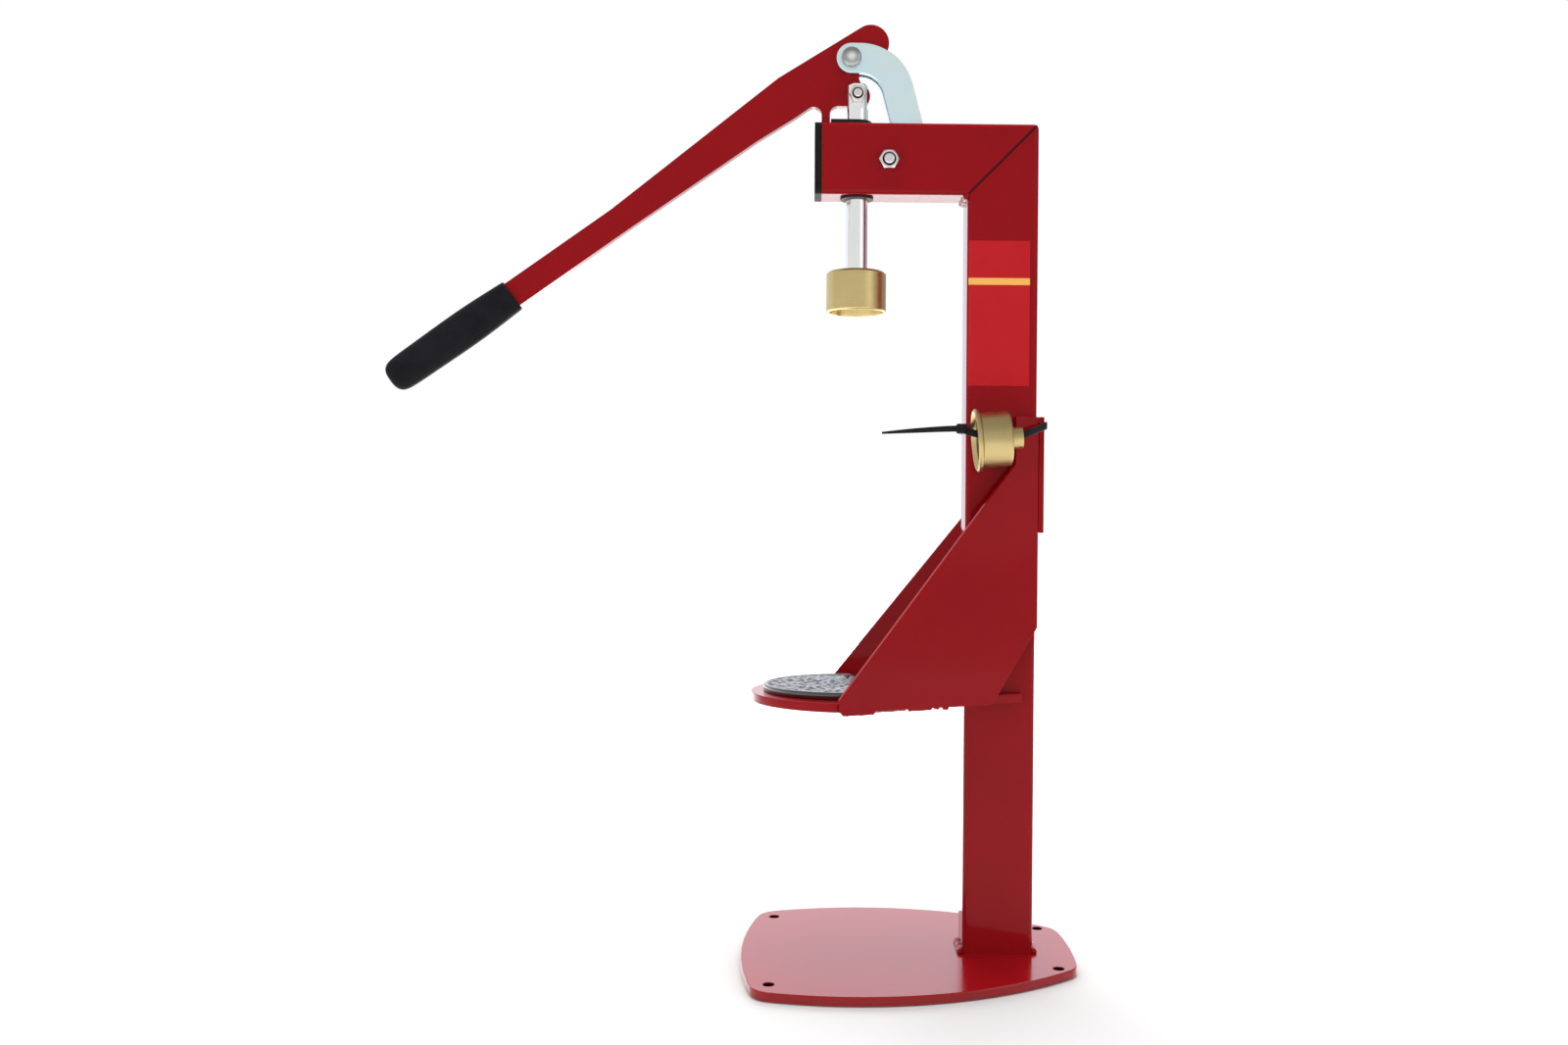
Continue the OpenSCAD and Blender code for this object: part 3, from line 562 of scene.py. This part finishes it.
dark_bush = make_moulded("dark_bush", (0.016, 0.010, 0.010, 1.0), rough=0.4, grain=1200.0, depth=0.0002)
dress("upper_guide_bush", dark_bush, smooth=True)
dress("lower_guide_bush", dark_bush, edge=0.0002)


# Fulcrum bolt, nut and spacers. A zinc-plated bolt right through the arm carries the lower ends
# of the links, which spacers keep in place inside the tube. The nut is chamfered and the bolt's
# end stands a little proud of it, with painted shade in a dark ring round the nut's bore.

def make_zinc_mottle_group():
    group, nodes, links, given, result = new_finish_group("zinc_mottle", [
        ("Color", "NodeSocketColor", (0.72, 0.72, 0.74, 1.0)),
        ("Roughness", "NodeSocketFloat", 0.28),
    ])
    warmer = (1.06, 0.98, 0.9)
    where = nodes.new("ShaderNodeTexCoord").outputs["Object"]
    cloud = add_noise(nodes, links, where, scale=55.0, detail=4.0, roughness=0.6)
    grain = add_noise(nodes, links, where, scale=1500.0, detail=2.0)
    stain = add_range(nodes, links, cloud, (0.35, 0.7), (0.0, 1.0))
    warm = add_tint(nodes, links, given["Color"], warmer)
    links.new(add_mix(nodes, links, stain, given["Color"], warm), result["Color"])
    spread = add_range(nodes, links, cloud, (0.3, 0.7), (-0.05, 0.08))
    links.new(add_math(nodes, links, "ADD", given["Roughness"], spread), result["Roughness"])
    links.new(grain, result["Height"])
    return group


zinc_mottle = make_zinc_mottle_group()


# Painted light: each spot puts painted shade (dark by default) or a painted highlight into the zinc's colour.
def make_zinc_plate(name, color, rough, painted_light_spots=(), painted_light_color=(0.05, 0.05, 0.05, 1.0), fade=0.07):
    material, nodes, links, shader = new_surface(name)
    shader.inputs["Metallic"].default_value = 1.0
    finish = add_finish(nodes, zinc_mottle, Color=color, Roughness=rough).outputs
    tone = finish["Color"]
    place = add_split(nodes, links, nodes.new("ShaderNodeTexCoord").outputs["Object"])
    for x, z, radius in painted_light_spots:
        spot = add_spot(nodes, links, (place["X"], place["Z"]), (x, z), radius, fade)
        tone = add_mix(nodes, links, spot, tone, painted_light_color)
    relief = add_bump(nodes, links, finish["Height"], strength=0.1, distance=0.0002)
    finish_surface(nodes, links, shader, tone, finish["Roughness"], relief)
    return material


def cut_with(piece, tool, operation):
    select_only(piece)
    cut = piece.modifiers.new("cut", "BOOLEAN")
    cut.operation = operation
    cut.object = tool
    bpy.ops.object.modifier_apply(modifier="cut")
    select_only(tool)
    bpy.ops.object.delete()
    select_only(piece)


def middle_of(node):
    low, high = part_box(node)
    return (low + high) / 2


def add_bar(sides, radius, length, middle):
    bpy.ops.mesh.primitive_cylinder_add(vertices=sides, radius=radius, depth=length, location=middle,
                                        rotation=(math.pi / 2, math.pi / 6, 0.0))
    return bpy.context.object


def add_hex_nut(name, node, bore):
    low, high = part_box(node)
    middle, flats, height = middle_of(node), high.z - low.z, high.y - low.y
    corner, chamfer, sink = flats / math.sqrt(3.0), 0.1 * flats, 0.13 * bore
    bpy.ops.object.select_all(action="DESELECT")
    nut = add_bar(6, corner, height, middle)
    nut.name = name
    crown = add_bar(96, corner, height, middle)
    bpy.ops.object.mode_set(mode="EDIT")
    bpy.ops.mesh.select_mode(type="EDGE")
    bpy.ops.mesh.select_all(action="DESELECT")
    bpy.ops.mesh.edges_select_sharp(sharpness=math.radians(60.0))
    bpy.ops.mesh.bevel(offset=chamfer, segments=1, affect="EDGES")
    bpy.ops.object.mode_set(mode="OBJECT")
    cut_with(nut, crown, "INTERSECT")
    cut_with(nut, add_bar(64, bore / 2, 2 * height, middle), "DIFFERENCE")
    for side in (-1.0, 1.0):
        mouth = middle + Vector((0.0, side * height / 2, 0.0))
        bpy.ops.mesh.primitive_cone_add(vertices=64, radius1=bore / 2, radius2=bore / 2 + 2 * sink,
                                        depth=2 * sink, location=mouth,
                                        rotation=(-side * math.pi / 2, 0.0, 0.0))
        cut_with(nut, bpy.context.object, "DIFFERENCE")
    bpy.ops.object.shade_smooth_by_angle(angle=math.radians(20.0))
    return nut


# The nuts' zinc gets a dark ring round each bore: painted shade in the countersink and the gap round the
# bolt.
nut_bores = {"fulcrum_nut": 0.0061, "fork_nut": 0.0051, "link_nut": 0.0061}
thread_shade = 1.28
bore_shade_spots = [(middle_of(nut).x, middle_of(nut).z, thread_shade * bore / 2) for nut, bore in nut_bores.items()]
bright_zinc = (0.72, 0.72, 0.74, 1.0)
zinc = make_zinc_plate("zinc_plate", bright_zinc, rough=0.28)
zinc_nut = make_zinc_plate("zinc_plate_bore_shade", bright_zinc, rough=0.28, painted_light_spots=bore_shade_spots)
dress("fulcrum_bolt", zinc, edge=0.0008, whole_faces=True)
dress("fulcrum_spacers", zinc)
fulcrum_nut = add_hex_nut("chamfered_fulcrum_nut", "fulcrum_nut", nut_bores["fulcrum_nut"])
settle(fulcrum_nut, zinc_nut, "zinc", "frame", "fulcrum_nut")


# Plunger rod. Ground and polished bright steel bar, turned down to a spigot for the bell at its
# lower end and slotted at the top into a fork for the lever.

def make_polished_steel():
    gray, pale_gray = (0.84, 0.86, 0.85, 1.0), (0.93, 0.94, 0.93, 1.0)
    material, nodes, links, shader = new_surface("polished_steel")
    shader.inputs["Metallic"].default_value = 1.0
    where = nodes.new("ShaderNodeTexCoord").outputs["Object"]
    stretch = nodes.new("ShaderNodeMapping")
    stretch.inputs["Scale"].default_value = (0.12, 0.12, 1.0)
    links.new(where, stretch.inputs["Vector"])
    lines = add_noise(nodes, links, stretch.outputs[0], scale=2400.0, detail=3.0, roughness=0.6)
    cloud = add_noise(nodes, links, where, scale=45.0, detail=2.0)
    tone = add_mix(nodes, links, cloud, gray, pale_gray)
    rough = add_range(nodes, links, lines, (0.3, 0.7), (0.1, 0.2))
    relief = add_bump(nodes, links, lines, strength=0.03, distance=0.0002)
    finish_surface(nodes, links, shader, tone, rough, relief)
    return material


dress("plunger_rod", make_polished_steel(), smooth=True)


# Fork bolt and nut. A smaller zinc-plated bolt through both cheeks of the fork, which the lever
# turns on, with a chamfered nut on the near side.

dress("fork_bolt", zinc, edge=0.0007, whole_faces=True)
# The fork nut has the same painted shade round its bore.
fork_nut = add_hex_nut("chamfered_fork_nut", "fork_nut", nut_bores["fork_nut"])
settle(fork_nut, zinc_nut, "zinc", "plunger", "fork_nut")


# Capping bell. Turned from brass bar, with a socket in its top for the rod's spigot and a tapered
# throat below that crimps the cap's skirt. The fine turning marks run round it.

def make_turned_brass_group():
    group, nodes, links, given, result = new_finish_group("turned_brass", [
        ("Along", "NodeSocketVector", (0.0, 0.0, 0.0)),
        ("Roughness", "NodeSocketFloat", 0.3),
        ("Tone", "NodeSocketFloat", 1.0),
    ])
    dull, bright = (0.56, 0.43, 0.18, 1.0), (0.69, 0.55, 0.265, 1.0)
    where = nodes.new("ShaderNodeTexCoord").outputs["Object"]
    grooves = add_noise(nodes, links, given["Along"], scale=1500.0, detail=2.0, roughness=0.6)
    cloud = add_noise(nodes, links, where, scale=60.0, detail=3.0)
    brass = add_mix(nodes, links, cloud, dull, bright)
    links.new(add_tint(nodes, links, brass, given["Tone"]), result["Color"])
    spread = add_range(nodes, links, grooves, (0.3, 0.7), (-0.04, 0.05))
    links.new(add_math(nodes, links, "ADD", given["Roughness"], spread), result["Roughness"])
    links.new(grooves, result["Height"])
    return group


turned_brass = make_turned_brass_group()


def make_turned_brass(name, axis_scale, axis_tilt=0.0, rough=0.3, tone=1.0):
    material, nodes, links, shader = new_surface(name)
    shader.inputs["Metallic"].default_value = 1.0
    turn = nodes.new("ShaderNodeMapping")
    turn.inputs["Rotation"].default_value = (0.0, axis_tilt, 0.0)
    turn.inputs["Scale"].default_value = axis_scale
    links.new(nodes.new("ShaderNodeTexCoord").outputs["Object"], turn.inputs["Vector"])
    finish = add_finish(nodes, turned_brass, Roughness=rough, Tone=tone)
    links.new(turn.outputs[0], finish.inputs["Along"])
    relief = add_bump(nodes, links, finish.outputs["Height"], strength=0.03, distance=0.0002)
    finish_surface(nodes, links, shader, finish.outputs["Color"], finish.outputs["Roughness"], relief)
    return material


dress("capping_bell", make_turned_brass("turned_brass", axis_scale=(0.03, 0.03, 1.0)), edge=0.0003)


# Lever. Cut from steel plate under the red coat, hung between the fork bolt and the link bolt,
# with a heel that stops on the arm at the end of the stroke.

dress("lever_plate", red_paint, smooth=True)


# Grip. A black vinyl sleeve pushed over the end of the lever: a swelled oval, thickest a third
# of the way along, with a rolled mouth and a rounded closed end.

def extrude_ring(shift, grow, middle):
    bpy.ops.mesh.extrude_region_move(TRANSFORM_OT_translate={"value": shift})
    bpy.ops.transform.resize(value=grow, center_override=middle)


def add_grip_sleeve():
    slope = math.radians(35.3)
    mouth_from_bolt, mouth_up, off_middle = 0.2335, 0.001, 1e-5
    half_w, half_t = 0.0094, 0.0053
    # Rings from the bottom of the bore out to the tip: place along the sleeve, half width, half thickness
    bottom = (0.0755, 0.0077, 0.0027)
    bore = ((0.001, 0.0077, 0.0027),)
    rolled_mouth = ((0.0002, 0.0079, 0.0031), (0.0, 0.0086, 0.0043), (0.0005, 0.0092, 0.0050))
    swell = (
        (0.0016, half_w, half_t), (0.010, 0.0098, half_t), (0.020, 0.0103, half_t), (0.032, 0.0106, half_t),
        (0.045, 0.0105, half_t), (0.060, 0.0102, half_t), (0.074, 0.0100, half_t),
    )
    closed_end = (
        (0.079, 0.0095, 0.0051), (0.0818, 0.0083, 0.0046), (0.0834, 0.0066, 0.0037), (0.0842, 0.0044, 0.0024),
        (0.0845, 0.0018, 0.0010),
    )
    bpy.ops.object.select_all(action="DESELECT")
    bpy.ops.mesh.primitive_circle_add(vertices=40, radius=half_t, fill_type="NGON")
    sleeve = bpy.context.object
    sleeve.name = "vinyl_grip"
    bpy.ops.object.mode_set(mode="EDIT")
    bpy.ops.mesh.select_mode(type="VERT")
    for side in (-1.0, 1.0):
        pick_verts(sleeve, lambda co: side * co.x > off_middle)
        bpy.ops.transform.translate(value=(side * (half_w - half_t), 0.0, 0.0))
    bpy.ops.mesh.select_all(action="SELECT")
    far, wide, tall = bottom
    bpy.ops.transform.translate(value=(0.0, 0.0, far))
    bpy.ops.transform.resize(value=(wide / half_w, tall / half_t, 1.0), center_override=(0.0, 0.0, far))
    for along, half_wide, half_tall in bore + rolled_mouth + swell + closed_end:
        extrude_ring((0.0, 0.0, along - far), (half_wide / wide, half_tall / tall, 1.0), (0.0, 0.0, along))
        far, wide, tall = along, half_wide, half_tall
    bpy.ops.mesh.select_all(action="DESELECT")
    bpy.ops.mesh.select_non_manifold()
    bpy.ops.mesh.edge_face_add()
    bpy.ops.mesh.select_all(action="SELECT")
    bpy.ops.mesh.normals_make_consistent(inside=False)
    bpy.ops.object.mode_set(mode="OBJECT")
    fair = sleeve.modifiers.new("fair", "SUBSURF")
    fair.levels = fair.render_levels = 2
    bpy.ops.object.modifier_apply(modifier="fair")
    bpy.ops.object.shade_smooth()
    outward = Vector((-math.cos(slope), 0.0, -math.sin(slope)))
    downward = Vector((math.sin(slope), 0.0, -math.cos(slope)))
    bolt = middle_of("link_nut")
    mouth = Vector((bolt.x, 0.0, bolt.z)) + mouth_from_bolt * outward - mouth_up * downward
    turn = Matrix((downward, outward.cross(downward), outward)).transposed()
    sleeve.matrix_world = Matrix.Translation(mouth) @ turn.to_4x4()
    return sleeve


grip_vinyl = make_moulded("grip_vinyl", (0.007, 0.007, 0.009, 1.0), rough=0.45, grain=500.0, depth=0.0003,
                          shine=0.08)
settle(add_grip_sleeve(), grip_vinyl, "grip", "lever", "lever_grip")


# Links. A pair of bent steel plates with bright bluish zinc plate, one on each side of the lever,
# on a round-headed bolt with a nut behind. The bolt's head has painted shade, dark round a
# painted highlight in its middle, and the nut has painted shade round its bore.

blue_zinc = make_zinc_plate("blue_zinc_plate", (0.71, 0.89, 0.95, 1.0), rough=0.4)
for link in ("link_near", "link_far"):
    dress(link, blue_zinc, edge=0.0004, whole_faces=True)


def add_pan_head_bolt(name, node):
    low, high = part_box(node)
    shank, head_ratio, side_ratio, tip_ratio, steps = 0.003, 0.65, 0.5, 0.05, 8
    head, tall = (high.x - low.x) / 2, head_ratio * 2 * shank
    side, base = side_ratio * tall, low.y + tall
    x, z = (low.x + high.x) / 2, (low.z + high.z) / 2
    bpy.ops.object.select_all(action="DESELECT")
    bpy.ops.mesh.primitive_circle_add(vertices=64, radius=shank, fill_type="NGON", location=(x, high.y, z),
                                      rotation=(math.pi / 2, 0.0, 0.0))
    bolt = bpy.context.object
    bolt.name = name
    bpy.ops.object.transform_apply(location=False, rotation=True, scale=False)
    bpy.ops.object.mode_set(mode="EDIT")
    bpy.ops.mesh.select_all(action="SELECT")
    rings = [(shank, base), (head, base), (head, base - side)]
    for step in range(1, steps):
        angle = step * math.pi / 2 / steps
        rings.append((head * math.cos(angle), base - side - (tall - side) * math.sin(angle)))
    rings.append((tip_ratio * head, low.y))
    radius, along = shank, high.y
    for wide, far in rings:
        extrude_ring((0.0, far - along, 0.0), (wide / radius, 1.0, wide / radius), (x, far, z))
        radius, along = wide, far
    bpy.ops.mesh.select_all(action="SELECT")
    bpy.ops.mesh.normals_make_consistent(inside=False)
    bpy.ops.object.mode_set(mode="OBJECT")
    bpy.ops.object.shade_smooth_by_angle(angle=math.radians(40.0))
    return bolt


# Painted light on the bolt's head: its zinc is darkened as painted shade, with a bright painted highlight in
# the middle.
bolt_axis = middle_of("link_nut")
shaded_zinc_with_highlight = make_zinc_plate("zinc_plate_shade_and_highlight", (0.36, 0.38, 0.38, 1.0), rough=0.25, fade=0.7,
                            painted_light_spots=((bolt_axis.x, bolt_axis.z, 0.0034),), painted_light_color=(0.82, 0.84, 0.84, 1.0))
settle(add_pan_head_bolt("pan_head_link_bolt", "link_bolt"), shaded_zinc_with_highlight, "zinc", "link", "link_bolt")
link_nut = add_hex_nut("chamfered_link_nut", "link_nut", nut_bores["link_nut"])
settle(link_nut, zinc_nut, "zinc", "link", "link_nut")


# Shelf bracket. A shelf plate between two splayed sheet wings, which a strap joins behind the
# column so that the whole bracket slides on it. The weld between plate and wings is left in
# lumps along their lower edges.

for piece in ("shelf_plate", "shelf_wing_near", "shelf_wing_far", "shelf_back_strap"):
    dress(piece, red_paint, edge=0.0004, whole_faces=True)


def wing_seam(x, side):
    slide_gap, under_wing, lift, splay = 0.0005, 0.0012, 0.0001, math.radians(21.5)
    column_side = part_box("column_tube")[1]
    y = column_side.y + slide_gap + under_wing + math.tan(splay) * (column_side.x + slide_gap - x)
    return (x, side * y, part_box("shelf_plate")[0].z + lift)


def add_shelf_welds():
    long_runs = ((-0.089, -0.074, 0.0021), (-0.072, -0.056, 0.0010), (-0.053, -0.042, 0.0015))
    drops = ((-0.0385, -0.0375, 0.0014), (-0.0335, -0.0325, 0.0018))
    beads = []
    for side in (-1.0, 1.0):
        for first, last, radius in long_runs + drops:
            beads.append(add_weld_bead(wing_seam(first, side), wing_seam(last, side), radius))
    return join_pieces("shelf_welds", beads)


settle(add_shelf_welds(), red_paint, "red_paint", "shelf")


# Pad. A disc of black moulded rubber on the shelf that keeps the bottle from slipping, its top
# embossed all over with shallow glossy lumps.

def add_pad(name, node):
    low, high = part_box(node)
    outer, rim, embossed, rings = 0.045, 0.0436, 0.0428, 56
    lump_size, lump_height, lump_level = 0.0045, -0.0016, 0.25
    # The rounded edge from the top down: radius, depth below the top
    edge_rows = (
        (0.0444, 0.0002), (0.0449, 0.0006), (outer, 0.0012), (outer, 0.0036), (0.0446, high.z - low.z),
    )
    middle = (high.x - outer, 0.0, high.z)
    bpy.ops.object.select_all(action="DESELECT")
    bpy.ops.mesh.primitive_circle_add(vertices=256, radius=rim, fill_type="NOTHING", location=middle)
    pad = bpy.context.object
    pad.name = name
    bpy.ops.object.mode_set(mode="EDIT")
    bpy.ops.mesh.select_mode(type="VERT")
    bpy.ops.mesh.select_all(action="SELECT")
    for ring in range(rings, 1, -1):
        less = (ring - 1) / ring
        extrude_ring((0.0, 0.0, 0.0), (less, less, 1.0), middle)
    bpy.ops.mesh.edge_face_add()
    bpy.ops.object.mode_set(mode="OBJECT")
    face = pad.vertex_groups.new(name="embossed")
    face.add([v.index for v in pad.data.vertices if v.co.length < embossed], 1.0, "REPLACE")
    lumps = bpy.data.textures.new("pad_lumps", "VORONOI")
    lumps.noise_scale = lump_size
    raised = pad.modifiers.new("emboss", "DISPLACE")
    raised.texture = lumps
    raised.texture_coords = "LOCAL"
    raised.vertex_group = "embossed"
    raised.direction = "Z"
    raised.strength = lump_height
    raised.mid_level = lump_level
    bpy.ops.object.modifier_apply(modifier="emboss")
    bpy.ops.object.mode_set(mode="EDIT")
    bpy.ops.mesh.select_all(action="DESELECT")
    bpy.ops.mesh.select_non_manifold()
    at, depth = rim, 0.0
    for radius, drop in edge_rows:
        extrude_ring((0.0, 0.0, depth - drop), (radius / at, radius / at, 1.0), middle)
        at, depth = radius, drop
    bpy.ops.mesh.edge_face_add()
    bpy.ops.mesh.select_all(action="SELECT")
    bpy.ops.mesh.normals_make_consistent(inside=False)
    bpy.ops.object.mode_set(mode="OBJECT")
    bpy.ops.object.shade_smooth_by_angle(angle=math.radians(50.0))
    return pad


pad_rubber = make_moulded("pad_rubber", (0.012, 0.012, 0.014, 1.0), rough=0.12, grain=900.0, depth=0.0002,
                          shine=0.8, film=0.7)
settle(add_pad("rubber_pad", "shelf_pad"), pad_rubber, "pad", "shelf", "shelf_pad")


# Spare bell. A second brass bell, turned with a lip round its mouth and a bored stem, which lies
# on its side against the column for storage. It is duller than the bell in use.

spare_brass = make_turned_brass("turned_brass_spare", axis_scale=(1.0, 0.03, 0.03),
                                axis_tilt=math.radians(4.5), rough=0.38, tone=0.78)
dress("spare_bell", spare_brass, edge=0.0003)


# Cable tie. A black nylon tie through the spare bell and round the bracket: a flat strap closed
# in a square head, with the spare tail pointing forwards and tapering to its tip.

def add_strap(points_mm, radii):
    bpy.ops.object.select_all(action="DESELECT")
    bpy.ops.curve.primitive_nurbs_path_add()
    strap = bpy.context.object
    strap.data.twist_mode = "Z_UP"
    strap.data.extrude = 0.0015
    strap.data.bevel_depth = 0.0005
    strap.data.bevel_resolution = 2
    strap.data.use_fill_caps = True
    line = strap.data.splines[0]
    line.points.add(len(points_mm) - len(line.points))
    line.order_u = 3
    line.use_endpoint_u = True
    line.resolution_u = 6
    for knot, place, radius in zip(line.points, points_mm, radii):
        knot.co = [millimetre * side for side in place] + [1.0]
        knot.radius = radius
    bpy.ops.object.convert(target="MESH")
    return bpy.context.object


def add_tie():
    through_bell = (
        (-25.0, -30.5, 301.8), (-20.5, -30.5, 300.2), (-16.0, -30.5, 298.8), (-10.0, -30.5, 298.6),
        (4.0, -30.5, 298.6), (9.5, -30.5, 298.9), (12.5, -29.8, 299.8),
    )
    behind_strap = (
        (22.6, -19.9, 303.7), (24.4, -17.6, 304.6), (24.6, -15.4, 305.0), (24.6, 0.0, 305.3),
        (24.6, 15.4, 305.2), (24.4, 17.3, 305.1),
    )
    far_side = (
        (22.6, 18.0, 305.0), (8.0, 22.8, 304.6), (5.8, 23.3, 304.5), (3.6, 22.7, 304.4),
        (-18.8, 14.4, 303.2), (-20.9, 13.5, 303.1),
    )
    across_front = (
        (-21.0, 11.2, 303.0), (-21.0, -16.0, 302.3), (-21.6, -25.0, 302.0), (-23.6, -29.4, 301.8),
        (-25.0, -29.6, 301.8),
    )
    tail_line = (
        (-24.0, -31.2, 301.9), (-32.0, -31.2, 301.7), (-44.0, -31.2, 301.0), (-56.0, -31.1, 300.2),
        (-68.5, -31.0, 299.2),
    )
    tail_taper = (0.85, 0.84, 0.72, 0.58, 0.3)
    head_place, head_size_mm, head_edge = (-0.0246, -0.0304, 0.3018), (5.6, 4.6, 5.4), 0.0007
    loop = through_bell + behind_strap + far_side + across_front
    strap = add_strap(loop, [1.0] * len(loop))
    tail = add_strap(tail_line, tail_taper)
    bpy.ops.object.select_all(action="DESELECT")
    bpy.ops.mesh.primitive_cube_add(size=millimetre, location=head_place, scale=head_size_mm)
    head = bpy.context.object
    bpy.ops.object.transform_apply(location=False, rotation=False, scale=True)
    bpy.ops.object.mode_set(mode="EDIT")
    bpy.ops.mesh.select_all(action="SELECT")
    bpy.ops.mesh.bevel(offset=head_edge, segments=3, affect="EDGES")
    bpy.ops.object.mode_set(mode="OBJECT")
    tie = join_pieces("nylon_tie", [strap, tail, head])
    bpy.ops.object.shade_smooth_by_angle(angle=math.radians(40.0))
    return tie


tie_nylon = make_moulded("tie_nylon", (0.008, 0.008, 0.009, 1.0), rough=0.35, grain=1500.0, depth=0.0001)
settle(add_tie(), tie_nylon, "black_plastic", "shelf", "cable_tie")
